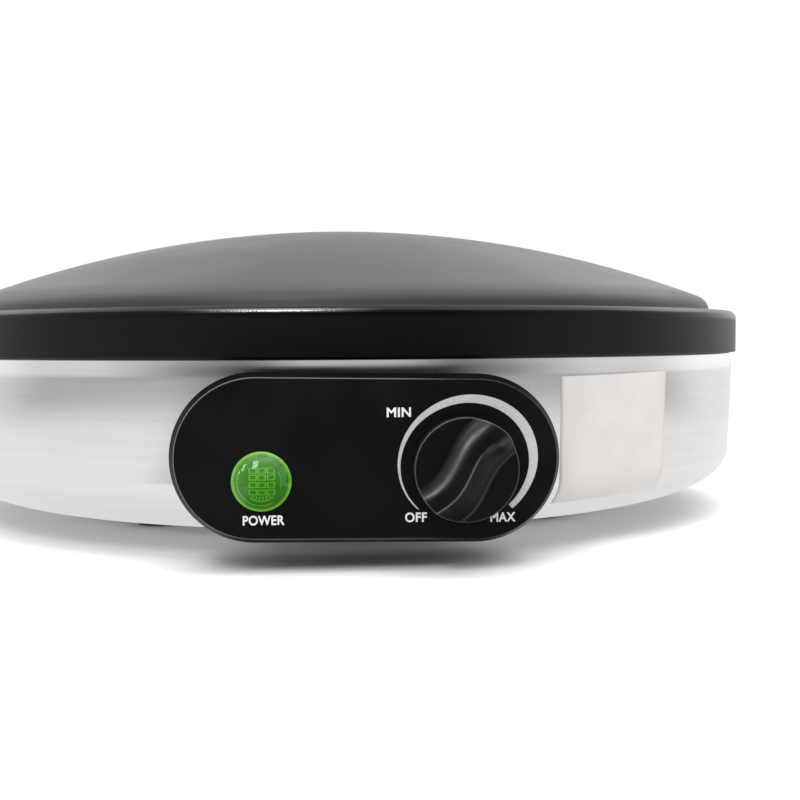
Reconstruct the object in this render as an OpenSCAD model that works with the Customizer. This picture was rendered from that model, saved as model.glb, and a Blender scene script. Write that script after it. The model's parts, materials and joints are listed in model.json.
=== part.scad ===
// Electric flatbread maker: a fixed domed baking plate on a round steel housing,
// with a thermostat knob and a pilot light on a panel at the front.
// Z is up from the table, and the controls face -Y. Sizes are in millimetres.

/* [Baking plate] */
// Radius of the plate over its skirt
plate_r = 205; // [201:1:210]
// Thickness of the cast wall
plate_t = 4.5; // [3.5:0.5:5]
// Height of the skirt, up to the lip
skirt_h = 20.2; // [19:0.2:24]
// Thickness of the skirt
skirt_t = 3.5; // [3:0.25:4.5]
// Width of the rim, from the skirt's face in to the dome
rim_w = 18; // [17:0.5:21]
// Height of the dome above its shoulder
dome_rise = 35.6; // [32:0.2:42]
// Height of the shoulder above the lip
shoulder_h = 7.6; // [6.4:0.2:9]
// Radius that rounds the shoulder
shoulder_round = 8; // [6.5:0.5:9]
// Depth of the groove behind the lip
groove_d = 4; // [3:0.25:5]
// Width of the lip at its foot
lip_w = 6.5; // [6:0.25:7.5]
// Distance from the skirt's face in to the lip's crest
crest_w = 4.4; // [3.8:0.2:5]
// Drop from the lip's crest to the skirt's corner
crest_drop = 2; // [1.4:0.2:2.6]

/* [Heating element] */
// Distance from the skirt's face in to the outer loop
loop_inset = 55; // [52:1:58]
// Distance between the two loops
loop_pitch = 58; // [54:1:62]
// Diameter of the sheathed tube
tube_d = 8; // [6.5:0.5:8.5]
// Angle of the terminals around the plate
terminal_angle = 250; // [246:1:254]
// Sweep of each loop from the terminals to the turn
loop_sweep = 310; // [304:1:314]
// Thickness of each wall of the cast channel
channel_t = 3; // [2.5:0.25:3.5]
// Number of clamps on the outer loop
out_clamps = 6; // [5:1:7]
// Number of clamps on the inner loop
in_clamps = 5; // [4:1:5]

/* [Housing] */
// Gap between the table and the housing
floor_gap = 7; // [6.5:0.5:10]
// Height of the housing from its bottom to its crease
body_h = 65.7; // [64:0.5:72]
// Height of the bright band between the crease and the skirt
band_h = 4.4; // [3.4:0.2:6]
// How far the bright band draws in from the crease to its top
band_lean = 0.7; // [0.3:0.1:1.2]
// How far the crease lies inside the skirt's face
belly_inset = 2; // [1.5:0.25:3]
// How far the wall draws in from the crease to the lower curve
wall_taper = 1.5; // [0.5:0.25:3]
// Width of the lower curve
curve_w = 48; // [44:1:50]
// Height of the lower curve
curve_h = 23; // [20:1:26]
// Thickness of the steel sheet
sheet_t = 0.8; // [0.6:0.1:1.2]
// Gap between the housing's neck and the skirt
neck_gap = 2; // [1.5:0.25:2.5]
// Height of the neck above the skirt's lower edge
neck_h = 6.9; // [6:0.1:8]
// Width of the flange that carries the plate
flange_w = 8.5; // [8:0.5:10]
// Width of the flat ring between the lower curve and the opening in the bottom
bottom_w = 13.5; // [12:0.5:15]

/* [Base and feet] */
// Width that the base plate laps over the opening's edge
base_lap = 8; // [7:0.5:9]
// Thickness of the base plate
base_t = 1; // [0.8:0.1:1.5]
// Distance from the opening's edge in to the middle of each foot
foot_inset = 15; // [14:0.5:20]
// Diameter of a foot at the table
foot_d = 22; // [18:1:24]
// Number of cooling slots in each ring
vent_count = 16; // [8:4:24]
// Width of a cooling slot
vent_w = 4; // [3:0.5:5]
// Distance from the opening's edge in to the stiffening bead
bead_inset = 62; // [59:1:65]

/* [Heat shield] */
// Height of the shield above the plate's seat
shield_rise = 6; // [5:0.5:8]
// Gap from the flange in to the shield
shield_gap = 7; // [6:0.5:10]
// Radius of the hole in the middle of the shield
shield_hole_r = 20; // [18:1:24]
// Diameter of a tie bolt
tie_d = 5; // [4:0.5:6]

/* [Control panel] */
// Width of the panel
panel_w = 141; // [138:1:146]
// Height of the panel
panel_h = 60.5; // [58:0.5:62]
// Gap from the crease down to the panel's top
panel_gap = 1.2; // [0.8:0.2:2]
// How far the panel's face stands out from the crease
panel_proud = 15; // [13:0.5:18]
// Thickness of the panel's wall
panel_t = 2.5; // [2:0.25:3]
// Width of the bevel round the panel's face
panel_bevel = 2; // [1:0.25:2.25]

/* [Knob and thermostat] */
// Sideways place of the knob on the panel
knob_x = 34.9; // [33:0.5:37]
// Height of the knob's axis above the panel's middle
knob_rise = -3.6; // [-5:0.2:-2]
// Diameter of the knob
knob_d = 37.8; // [34:0.2:40]
// Height of the knob's round base
knob_base_h = 9; // [8:0.5:11]
// Height of the grip above the base
grip_h = 9; // [7:0.5:11]
// Gap between the knob and the panel
knob_gap = 0.8; // [0.5:0.1:1.2]
// Angle of the grip at OFF, from the panel's long axis
off_angle = 49; // [45:1:53]
// Diameter of the thermostat's shaft
shaft_d = 6; // [5.5:0.1:6.5]
// Width and height of the thermostat's body
stat_w = 38; // [34:1:38]
// Depth of the thermostat's body
stat_depth = 18; // [16:1:20]

/* [Pilot light] */
// Sideways place of the light on the panel
lens_x = -38.3; // [-40:0.5:-36]
// Height of the light above the panel's middle
lens_rise = -7.6; // [-9:0.2:-6]
// Diameter of the lens
lens_d = 22; // [20:0.5:23]
// How far the lens stands out from the panel
lens_h = 5; // [4:0.5:6]
// Diameter of the lamp housing
lamp_d = 15; // [14:0.5:16]

/* [Mains inlet] */
// Height of the cord gland above the table
gland_z = 38; // [36:1:44]
// Bore of the gland for the mains lead
gland_bore = 7.5; // [6.5:0.5:8]
// Diameter of the gland's thread
gland_d = 14; // [12:0.5:15]

/* [Hidden] */

$fn = 72;
round_steps = 4;
play = 0.1; // gap between pieces that are fixed to each other
run = 0.05; // radial gap round the turning shaft
eps = 0.01;

// Heights, from the table up
crease_z = floor_gap + body_h;
skirt_z = crease_z + band_h;
lip_z = skirt_z + skirt_h;
groove_z = lip_z - groove_d;
shoulder_z = lip_z + shoulder_h;
seat_z = skirt_z + neck_h;
base_z = floor_gap + sheet_t;
shield_z = seat_z + shield_rise;
curve_z = floor_gap + curve_h;

// Radii of the round pieces
shoulder_r = plate_r - rim_w;
dome_r = (shoulder_r * shoulder_r + dome_rise * dome_rise) / (2 * dome_rise);
dome_z = shoulder_z + dome_rise - dome_r;
slope = asin(shoulder_r / dome_r);
belly_r = plate_r - belly_inset;
low_r = belly_r - wall_taper;
neck_r = plate_r - skirt_t - neck_gap;
shield_r = neck_r - flange_w - shield_gap;
opening_r = low_r - curve_w - bottom_w;
base_r = opening_r + base_lap;
foot_place = opening_r - foot_inset;
bead_r = opening_r - bead_inset;
loop_out_r = plate_r - loop_inset;
loop_in_r = loop_out_r - loop_pitch;
tie_place = (loop_out_r + loop_in_r) / 2;

// The front panel, and the middle of the whole part between the knob and the plate's back
panel_y = belly_r + panel_proud;
panel_z = crease_z - panel_gap - panel_h / 2;
knob_h = knob_gap + knob_base_h + grip_h;
gland_flange_r = gland_d / 2 + 4;
gland_proud = 5;
gland_y = body_r(gland_z + gland_flange_r) + play;
back_y = max(plate_r, gland_y + gland_proud);
axis_y = (panel_y + knob_h - back_y) / 2;

// Small parts
foot_screw_d = 4;
clamp_w = 10;
clamp_t = 1.5;
clamp_boss_d = 8;
clamp_reach = 12;
clamp_screw_d = 3.5;
tie_boss_d = 14;
bend_r = 12;
pin_d = 3.4;
bulb_d = 6;
bulb_len = 60;
bulb_y = 42 - loop_in_r;
fuse_d = 4.4;
fuse_x = 10;
wire_d = 2.4;
lamp_wire_d = 1.6;
bracket_t = 1.5;
bracket_h = 24;
bracket_clear = 2;
fix_pitch = 50;
panel_boss_d = 8;
panel_screw_d = 3.5;
bush_d = 10;
bush_len = 9;
stat_screw_pitch = 28;
hub_d = 12;
nut_t = 0.6;
lamp_len = 30;
block_x = -45;
block_y = opening_r - 45;
block_pitch = 11;
block_ways = 4;
block_size = [46, 20, 16];
earth_place = [0, bead_r - 18];

// Colours, as the object shows them
coating = [0.16, 0.16, 0.17];
steel = [0.78, 0.77, 0.75];
zinc = [0.66, 0.68, 0.7];
black = [0.09, 0.09, 0.1];
green = [0.3, 0.8, 0.15];
rubber = [0.12, 0.12, 0.12];
ceramic = [0.93, 0.91, 0.86];
brass = [0.8, 0.65, 0.3];
copper = [0.75, 0.45, 0.3];

// Profiles and paths

function unit(v) = v / norm(v);
function turned(v, a) = [v.x * cos(a) - v.y * sin(a), v.x * sin(a) + v.y * cos(a)];

// Points of an arc whose angles are measured from the vertical
function arc(centre, r, from, to, steps) =
    [for (i = [0 : steps]) let (a = from + (to - from) * i / steps) centre + r * [sin(a), cos(a)]];

// The corner b of a path from a to c, rounded to the radius r
function corner(a, b, c, r) =
    r == 0 ? [b] :
    let (u = unit(a - b), v = unit(c - b), half = acos(u * v) / 2)
    let (centre = b + unit(u + v) * r / sin(half), start = b + u * r / tan(half) - centre)
    let (turn = (cross(u, v) < 0 ? 1 : -1) * (180 - 2 * half))
    [for (i = [0 : round_steps]) centre + turned(start, turn * i / round_steps)];

// A path of [x, y, radius] points with its inner corners rounded
function rounded(path) =
    let (p = [for (q = path) [q[0], q[1]]], last = len(p) - 1)
    concat([p[0]], [for (i = [1 : last - 1]) each corner(p[i - 1], p[i], p[i + 1], path[i][2])], [p[last]]);

// The normal on the left of a path at point i, stretched to keep the sheet's thickness
function left_normal(p, i) =
    let (a = i == 0 ? undef : unit(p[i] - p[i - 1]), b = i == len(p) - 1 ? undef : unit(p[i + 1] - p[i]))
    let (m = is_undef(a) ? [-b.y, b.x] : [-a.y, a.x], n = is_undef(b) ? m : [-b.y, b.x])
    (m + n) / (1 + m * n);

// The closed outline of a sheet whose thickness lies on the left of a path
function sheet(p, t) = concat(p, [for (i = [len(p) - 1 : -1 : 0]) p[i] + t * left_normal(p, i)]);

// A rod of any round section along a path, with rings kept square to it by parallel transport
function along(p, i) = unit(p[min(i + 1, len(p) - 1)] - p[max(i - 1, 0)]);
function carried(n, t) = unit(n - (n * t) * t);
function frames(p, i = 0, n = [0.31, 0.52, 0.8]) =
    i == len(p) ? [] : let (m = carried(n, along(p, i))) concat([m], frames(p, i + 1, m));
function smooth(p, i, t) =
    let (a = p[max(i - 1, 0)], b = p[i], c = p[i + 1], d = p[min(i + 2, len(p) - 1)])
    0.5 * (2 * b + (c - a) * t + (2 * a - 5 * b + 4 * c - d) * t * t + (3 * b - a - 3 * c + d) * t * t * t);
function curve(p, steps) =
    concat([for (i = [0 : len(p) - 2], k = [0 : steps - 1]) smooth(p, i, k / steps)], [p[len(p) - 1]]);

module loft(rings) {
    n = len(rings[0]);
    last = len(rings) - 1;
    sides = [for (i = [0 : last - 1], k = [0 : n - 1])
        each let (a = i * n + k, b = i * n + (k + 1) % n) [[a, a + n, b + n], [a, b + n, b]]];
    ends = [for (k = [1 : n - 2]) each [[0, k, k + 1], [last * n, last * n + k + 1, last * n + k]]];
    polyhedron([for (r = rings) each r], concat(sides, ends));
}

module rod(points, d, steps = 3, sides = 8) {
    p = curve(points, steps);
    f = frames(p);
    loft([for (i = [0 : len(p) - 1]) let (t = along(p, i), u = f[i], v = cross(t, u))
        [for (k = [0 : sides - 1]) let (a = -360 * k / sides) p[i] + d / 2 * (u * cos(a) + v * sin(a))]]);
}

// Shapes that the pieces share

// Heights of the dome's outside, middle and inside at radius r
function dome_height(r, depth = 0) = dome_z + sqrt(pow(dome_r - depth, 2) - r * r);
function mid_wall(r) = dome_height(r, plate_t / 2);

// Height of an element loop under the dome, and of the foot of its channel
function loop_z(r) = dome_height(r + tube_d / 2 + channel_t, plate_t) - 1 - tube_d / 2;
function channel_z(r) = loop_z(r) - tube_d / 2;
function clamp_angle(i, count) = terminal_angle + (i + 0.5) * loop_sweep / count;

// Radius of the housing's outside at height z
function body_r(z) =
    z >= curve_z
    ? low_r + (belly_r - low_r) * (z - curve_z) / (crease_z - curve_z)
    : low_r - curve_w + curve_w * sqrt(1 - pow((curve_z - max(z, floor_gap)) / curve_h, 2));

// The housing's outside from the opening's edge up to the flange
curve_angles = [-90 : 7.5 : 0];
skirt_clear = 0.4;
band_top = [belly_r - band_lean, skirt_z - skirt_clear];
body_path = concat(
    [[opening_r, floor_gap]],
    [for (a = curve_angles) [low_r - curve_w + curve_w * cos(a), curve_z + curve_h * sin(a)]],
    corner([low_r, curve_z], [belly_r, crease_z], band_top, 1.5),
    corner([belly_r, crease_z], band_top, [neck_r, skirt_z - skirt_clear], 1.2),
    corner(band_top, [neck_r, skirt_z - skirt_clear], [neck_r, seat_z], 0.9),
    corner([neck_r, skirt_z], [neck_r, seat_z], [neck_r - flange_w, seat_z], 1.4),
    [[neck_r - flange_w, seat_z]]
);

module ring(profile) rotate_extrude($fn = 180) polygon(profile);

module housing_solid(grow) {
    outline = sheet(body_path, -grow);
    count = len(body_path);
    skin = [for (i = [len(outline) - 1 : -1 : count]) outline[i]];
    ring(concat([[0, skin[0].y]], skin, [[0, skin[count - 1].y]]));
}

module at_panel(x = 0, y = 0) translate([x, -panel_y, panel_z + y]) rotate([90, 0, 0]) children();
module at_knob() at_panel(knob_x, knob_rise) children();
module at_lamp() at_panel(lens_x, lens_rise) children();
module at_ties() for (a = [0 : 90 : 270]) rotate(a) translate([tie_place, 0, 0]) children();
module at_feet() for (a = [45 : 90 : 315]) rotate(a) translate([foot_place, 0, 0]) children();

module at_clamps() {
    for (i = [0 : out_clamps - 1])
        rotate(clamp_angle(i, out_clamps)) translate([loop_out_r, 0, channel_z(loop_out_r)]) children();
    for (i = [0 : in_clamps - 1])
        rotate(clamp_angle(i, in_clamps)) translate([loop_in_r, 0, channel_z(loop_in_r)]) children();
}

// How far behind the panel's face a bracket at x lies, to clear the housing's inside
function bracket_depth(x, y) =
    let (reach = abs(x) + fix_pitch / 2 + panel_boss_d / 2 + 2)
    let (r = body_r(panel_z + y - bracket_h / 2) - sheet_t)
    panel_y - sqrt(r * r - reach * reach) + bracket_clear;
knob_bracket = bracket_depth(knob_x, knob_rise);
lamp_bracket_depth = bracket_depth(lens_x, lens_rise);
stat_depth_z = knob_bracket + bracket_t + stat_depth;

module screw(d, len, head_d, head_h) {
    cylinder(d = d, h = len);
    translate([0, 0, -head_h])
        difference() {
            cylinder(d = head_d, h = head_h);
            for (a = [0, 90])
                rotate(a) translate([-head_d / 4, -0.4, -eps]) cube([head_d / 2, 0.8, head_h / 2]);
        }
}

// The plate and what hangs under it

bulb_z = dome_height(norm([bulb_len / 2, bulb_y]), plate_t) - bulb_d / 2 - 0.4;
bulb_boss = [0, bulb_y - 10];
fuse_z = dome_height(0, plate_t) - fuse_d / 2 - 5;

module channel(r) {
    in = r - tube_d / 2 - play;
    out = r + tube_d / 2 + play;
    foot = channel_z(r);
    roof = loop_z(r) + tube_d / 2 + play;
    rotate(terminal_angle)
        rotate_extrude(angle = loop_sweep, $fn = 180)
            polygon([
                [in - channel_t, foot], [in, foot], [in, roof], [out, roof], [out, foot],
                [out + channel_t, foot], [out + channel_t, mid_wall(out + channel_t)],
                [in - channel_t, mid_wall(in - channel_t)]
            ]);
}

module clamp_bosses(d, cut) {
    for (i = [0 : out_clamps - 1]) rotate(clamp_angle(i, out_clamps)) clamp_boss(loop_out_r, d, cut);
    for (i = [0 : in_clamps - 1]) rotate(clamp_angle(i, in_clamps)) clamp_boss(loop_in_r, d, cut);
}

module clamp_boss(r, d, cut) {
    foot = channel_z(r);
    top = mid_wall(r - clamp_reach);
    translate([r - clamp_reach, 0, foot - (cut ? eps : 0)])
        cylinder(d = d, h = cut ? 6 + eps : top - foot);
}

module baking_plate() {
    turn_at = [shoulder_r, shoulder_z] - shoulder_round * [sin(slope), cos(slope)];
    end = arc(turn_at, shoulder_round, slope, 80, 6);
    wall_x = end[6].x + (end[6].y - groove_z) / tan(80);
    ledge_z = groove_z - plate_t;
    inner = arc(turn_at, shoulder_round - plate_t, 80, slope, 4);
    rim = rounded([
        [end[6].x, end[6].y, 0],
        [wall_x, groove_z, 2],
        [plate_r - lip_w, groove_z, 1.2],
        [plate_r - crest_w, lip_z, 0.6],
        [plate_r, lip_z - crest_drop, 1.5],
        [plate_r, skirt_z, 0.6],
        [plate_r - skirt_t, skirt_z, 0.6],
        [plate_r - skirt_t, ledge_z, 2],
        [neck_r - 2.5, ledge_z, 0],
        [neck_r - 2.5, seat_z, 0],
        [neck_r - flange_w, seat_z, 0],
        [neck_r - flange_w, ledge_z, 0],
        [wall_x - plate_t / sin(80), ledge_z, 0],
        [inner[0].x, inner[0].y, 0]
    ]);
    color(coating)
    difference() {
        union() {
            ring(concat(
                arc([0, dome_z], dome_r, 0, slope, 20),
                [for (i = [1 : 5]) end[i]],
                rim,
                [for (i = [1 : 4]) inner[i]],
                [for (i = [1 : 20]) arc([0, dome_z], dome_r - plate_t, slope, 0, 20)[i]]
            ));
            channel(loop_out_r);
            channel(loop_in_r);
            clamp_bosses(clamp_boss_d, false);
            at_ties() translate([0, 0, shield_z + sheet_t])
                cylinder(d = tie_boss_d, h = mid_wall(tie_place) - shield_z - sheet_t);
            translate([bulb_boss.x, bulb_boss.y, bulb_z - bulb_d / 2 - play])
                cylinder(d = clamp_boss_d, h = mid_wall(norm(bulb_boss)) - bulb_z + bulb_d / 2 + play);
            translate([0, 0, fuse_z - fuse_d / 2 - play])
                cylinder(d = clamp_boss_d, h = mid_wall(0) - fuse_z + fuse_d / 2 + play);
        }
        clamp_bosses(clamp_screw_d + 2 * play, true);
        at_ties() translate([0, 0, shield_z + sheet_t - eps]) cylinder(d = tie_d + 2 * play, h = 15);
        translate([bulb_boss.x, bulb_boss.y, bulb_z - bulb_d / 2 - play - eps])
            cylinder(d = clamp_screw_d + 2 * play, h = 6);
        translate([0, 0, fuse_z - fuse_d / 2 - play - eps]) cylinder(d = clamp_screw_d + 2 * play, h = 6);
    }
}

// The tight bends draw the tube a little thinner, and their ends run on into its even stretches
bent_d = tube_d - 0.2;

// One end of a loop: it bends down and ends in a pin below the shield
cold_z = shield_z - 10;
module element_end(r) {
    rotate(terminal_angle) translate([r, 0, loop_z(r)]) {
        translate([0, 0, -bend_r]) rotate([90, 0, -90]) rotate(-5)
            rotate_extrude(angle = 100) translate([bend_r, 0]) circle(d = bent_d);
        translate([0, -bend_r, cold_z - loop_z(r)])
            cylinder(d = tube_d, h = loop_z(r) - bend_r - cold_z);
        translate([0, -bend_r, cold_z - loop_z(r) - 10]) cylinder(d = pin_d, h = 10 + eps);
    }
}

module heating_element() {
    rise = loop_z(loop_in_r) - loop_z(loop_out_r);
    across = loop_out_r - loop_in_r;
    color(zinc) {
        for (r = [loop_out_r, loop_in_r]) {
            rotate(terminal_angle) translate([0, 0, loop_z(r)])
                rotate_extrude(angle = loop_sweep, $fn = 180) translate([r, 0]) circle(d = tube_d);
            element_end(r);
        }
        rotate(terminal_angle + loop_sweep)
            translate([(loop_out_r + loop_in_r) / 2, 0, (loop_z(loop_out_r) + loop_z(loop_in_r)) / 2])
                rotate([0, atan2(rise, across), 0]) rotate(-2)
                    rotate_extrude(angle = 184, $fn = 96)
                        translate([norm([rise, across]) / 2, 0]) circle(d = bent_d);
    }
}

module element_clamps() color(steel) at_clamps() clamp_strip(clamp_reach);

// A flat spring strip under a tube, with a hole over its boss
module clamp_strip(reach) {
    translate([0, 0, -clamp_t - play])
        difference() {
            translate([-reach - 5, -clamp_w / 2, 0]) cube([reach + 9, clamp_w, clamp_t]);
            translate([-reach, 0, -eps]) cylinder(d = clamp_screw_d + 2 * play, h = clamp_t + 2 * eps);
        }
}

module clamp_screws() {
    color(zinc) {
        at_clamps() translate([-clamp_reach, 0, -clamp_t - play]) screw(clamp_screw_d, 7, 7, 2.4);
        translate([bulb_boss.x, bulb_boss.y, bulb_z - bulb_d / 2 - clamp_t - 2 * play])
            screw(clamp_screw_d, 7, 7, 2.4);
        translate([0, 0, fuse_z - fuse_d / 2 - clamp_t - 2 * play]) screw(clamp_screw_d, 7, 7, 2.4);
    }
}

module sensor_bulb() {
    color(copper) translate([-bulb_len / 2, bulb_y, bulb_z]) rotate([0, 90, 0])
        cylinder(d = bulb_d, h = bulb_len);
}

module bulb_clip() {
    color(steel) translate([0, bulb_y, bulb_z - bulb_d / 2]) rotate(90) clamp_strip(bulb_y - bulb_boss.y);
}

module thermal_fuse() {
    color(ceramic) translate([fuse_x, -6, fuse_z]) rotate([-90, 0, 0]) {
        cylinder(d = fuse_d, h = 12);
        translate([0, 0, -8]) cylinder(d = 3, h = 28);
    }
}

module fuse_clip() color(steel) translate([fuse_x, 0, fuse_z - fuse_d / 2]) clamp_strip(fuse_x);

// The shield and the ties between the base and the plate

module heat_shield() {
    path = rounded([
        [shield_hole_r, shield_z, 0],
        [shield_r - 14, shield_z, 6],
        [shield_r - 4, shield_z + 6, 3],
        [shield_r, shield_z + 6, 0]
    ]);
    color(zinc)
    difference() {
        ring(sheet(path, sheet_t));
        at_ties() translate([0, 0, shield_z - 1]) cylinder(d = tie_d + 0.6, h = sheet_t + 2);
        for (r = [loop_out_r, loop_in_r])
            rotate(terminal_angle) translate([r, -bend_r, shield_z - 1])
                cylinder(d = tube_d + 4 + 2 * play, h = sheet_t + 2);
        translate([capillary[3].x, capillary[3].y, shield_z - 1]) cylinder(d = 12, h = sheet_t + 2);
    }
}

module terminal_bushes() {
    color(ceramic)
    for (r = [loop_out_r, loop_in_r])
        rotate(terminal_angle) translate([r, -bend_r, shield_z - 3])
            difference() {
                union() {
                    cylinder(d = tube_d + 8, h = 3);
                    cylinder(d = tube_d + 4, h = 3 + sheet_t + 2);
                }
                translate([0, 0, -eps]) cylinder(d = tube_d + 2 * play, h = 10);
            }
}

module tie_spacer(i) {
    color(zinc) rotate(90 * (i - 1)) translate([tie_place, 0, base_z + base_t])
        difference() {
            cylinder(d = tie_d + 5, h = shield_z - base_z - base_t);
            translate([0, 0, -eps]) cylinder(d = tie_d + 2 * play, h = shield_z);
        }
}

module tie_bolts() {
    color(zinc) at_ties() translate([0, 0, base_z]) {
        cylinder(d = tie_d, h = shield_z + sheet_t + 14 - base_z);
        translate([0, 0, -3.5]) cylinder(d = 9, h = 3.5, $fn = 6);
    }
}

// The housing, its base and its feet

module outer_body() {
    color(steel)
    difference() {
        ring(sheet(body_path, sheet_t));
        for (x = [knob_x, lens_x], s = [-1, 1])
            at_panel(x + s * fix_pitch / 2, x == knob_x ? knob_rise : lens_rise)
                translate([0, 0, -panel_y / 2]) cylinder(d = panel_boss_d + 1, h = panel_y / 2);
        at_knob() translate([0, 0, -panel_y / 2]) cylinder(d = bush_d + 4, h = panel_y / 2);
        at_lamp() translate([0, 0, -panel_y / 2]) cylinder(d = lamp_d + 2, h = panel_y / 2);
        translate([0, panel_y / 2, gland_z]) rotate([-90, 0, 0]) cylinder(d = gland_d + 0.6, h = panel_y);
        for (a = [30 : 60 : 330]) rotate(a) translate([opening_r + base_lap / 2, 0, floor_gap - 1])
            cylinder(d = 4.2, h = sheet_t + 2);
    }
}

module base_plate() {
    path = rounded([
        [0, base_z, 0],
        [bead_r - 6, base_z, 2],
        [bead_r - 3, base_z + 2.5, 2],
        [bead_r + 3, base_z + 2.5, 2],
        [bead_r + 6, base_z, 2],
        [base_r, base_z, 0]
    ]);
    color(zinc)
    difference() {
        ring(sheet(path, base_t));
        for (i = [0 : vent_count - 1]) rotate((i + 0.5) * 360 / vent_count) {
            vent(28, bead_r - 28);
            vent(bead_r + 14, opening_r - 32);
        }
        at_ties() translate([0, 0, base_z - 1]) cylinder(d = tie_d + 0.6, h = base_t + 2);
        at_feet() translate([0, 0, base_z - 1]) cylinder(d = foot_screw_d + 0.6, h = base_t + 2);
        for (a = [30 : 60 : 330]) rotate(a) translate([opening_r + base_lap / 2, 0, base_z - 1])
            cylinder(d = 3.5 + 2 * play, h = base_t + 2);
        translate([earth_place.x, earth_place.y, base_z - 1]) cylinder(d = 4 + 2 * play, h = base_t + 2);
    }
}

module vent(from, to) {
    translate([from, -vent_w / 2, base_z - 1]) cube([to - from, vent_w, base_t + 2]);
    for (r = [from, to]) translate([r, 0, base_z - 1]) cylinder(d = vent_w, h = base_t + 2);
}

module base_screws() {
    color(zinc) for (a = [30 : 60 : 330]) rotate(a) translate([opening_r + base_lap / 2, 0, floor_gap])
        screw(3.5, 6, 7, 2.4);
}

foot_recess = 3;
module foot(i) {
    color(rubber) rotate(45 + 90 * (i - 1)) translate([foot_place, 0, 0])
        difference() {
            ring(rounded([
                [0, 0, 0], [foot_d / 2 - 1, 0, 1], [foot_d / 2, base_z, 0.8],
                [foot_screw_d / 2 + play, base_z, 0], [0, base_z, 0]
            ]));
            translate([0, 0, -eps]) cylinder(d = 9, h = foot_recess);
            cylinder(d = foot_screw_d + 2 * play, h = base_z + 1);
        }
}

module foot_screws() {
    color(zinc) at_feet() translate([0, 0, foot_recess - eps])
        screw(foot_screw_d, base_z + base_t + 2, 8, 2.4);
}

module foot_nuts() {
    color(zinc) at_feet() translate([0, 0, base_z + base_t])
        difference() {
            cylinder(d = 8, h = 3, $fn = 6);
            translate([0, 0, -eps]) cylinder(d = foot_screw_d + 2 * play, h = 4);
        }
}

// The control panel: a moulded shell whose rear edge follows the housing

module panel_shell(depth) {
    end_x = (panel_w - panel_h) / 2;
    r = panel_h / 2;
    edge = [
        [0, 0, 0], [r - panel_bevel, 0, 0.4], [r, -1.5 * panel_bevel, 0.8], [r, -depth, 0],
        [r - panel_t, -depth, 0], [r - panel_t, -panel_t, 1], [0, -panel_t, 0]
    ];
    half = rounded(edge);
    for (s = [-1, 1])
        translate([s * end_x, 0, 0]) rotate(s * 90 - 180)
            rotate_extrude(angle = 180, $fn = 96) polygon(half);
    translate([-end_x, 0, 0]) rotate([90, 0, 90])
        linear_extrude(2 * end_x)
            for (s = [0, 1]) mirror([s, 0]) polygon(half);
}

module control_panel() {
    depth = panel_y - body_r(panel_z - panel_h / 2) + 12;
    color(black)
    difference() {
        union() {
            difference() {
                at_panel() panel_shell(depth);
                housing_solid(play);
            }
            panel_bosses();
        }
        at_knob() translate([0, 0, -panel_t - 1]) cylinder(d = shaft_d + 1.6, h = panel_t + 2);
        at_lamp() translate([0, 0, -panel_t - 1]) cylinder(d = lamp_d + 2 * play, h = panel_t + 2);
        at_fixings() translate([0, 0, -eps]) cylinder(d = panel_screw_d + 2 * play, h = 12);
    }
}

// Each fixing's origin is the rear end of its boss, and its z axis points to the panel's face
module at_fixings() {
    for (s = [-1, 1]) {
        at_panel(knob_x + s * fix_pitch / 2, knob_rise) translate([0, 0, -knob_bracket]) children();
        at_panel(lens_x + s * fix_pitch / 2, lens_rise) translate([0, 0, -lamp_bracket_depth]) children();
    }
}

module panel_bosses() {
    for (s = [-1, 1]) {
        at_panel(knob_x + s * fix_pitch / 2, knob_rise) boss_to(knob_bracket);
        at_panel(lens_x + s * fix_pitch / 2, lens_rise) boss_to(lamp_bracket_depth);
    }
}

module boss_to(depth) translate([0, 0, -depth]) cylinder(d = panel_boss_d, h = depth - panel_t / 2);

// A steel hat bracket whose side flanges bear on the inside of the housing
module hat_bracket(depth, hole_d) {
    half = fix_pitch / 2 + panel_boss_d / 2 + 2;
    difference() {
        translate([0, 0, -depth - bracket_t]) union() {
            translate([-half, -bracket_h / 2, 0]) cube([2 * half, bracket_h, bracket_t]);
            for (x = [-half, half - bracket_t])
                translate([x, -bracket_h / 2, 0]) cube([bracket_t, bracket_h, depth]);
        }
        translate([0, 0, -depth - 2 * bracket_t]) cylinder(d = hole_d, h = 3 * bracket_t);
        for (s = [-1, 1]) translate([s * fix_pitch / 2, 0, -depth - 2 * bracket_t])
            cylinder(d = panel_screw_d + 0.6, h = 3 * bracket_t);
    }
}

module inside_housing() {
    intersection() {
        children();
        housing_solid(-sheet_t - play);
    }
}

module thermostat_bracket() {
    color(zinc) difference() {
        inside_housing() at_knob() hat_bracket(knob_bracket, bush_d + 2 * play);
        at_knob() for (s = [-1, 1]) translate([s * stat_screw_pitch / 2, 0, -knob_bracket - 2 * bracket_t])
            cylinder(d = 3 + 2 * play, h = 3 * bracket_t);
    }
}

module lamp_bracket() color(zinc) inside_housing() at_lamp() hat_bracket(lamp_bracket_depth, lamp_d + 2);

module panel_screws() {
    color(zinc) at_fixings() translate([0, 0, -bracket_t]) screw(panel_screw_d, 12, 7, 2.4);
}

// The thermostat, its shaft and the knob

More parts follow.
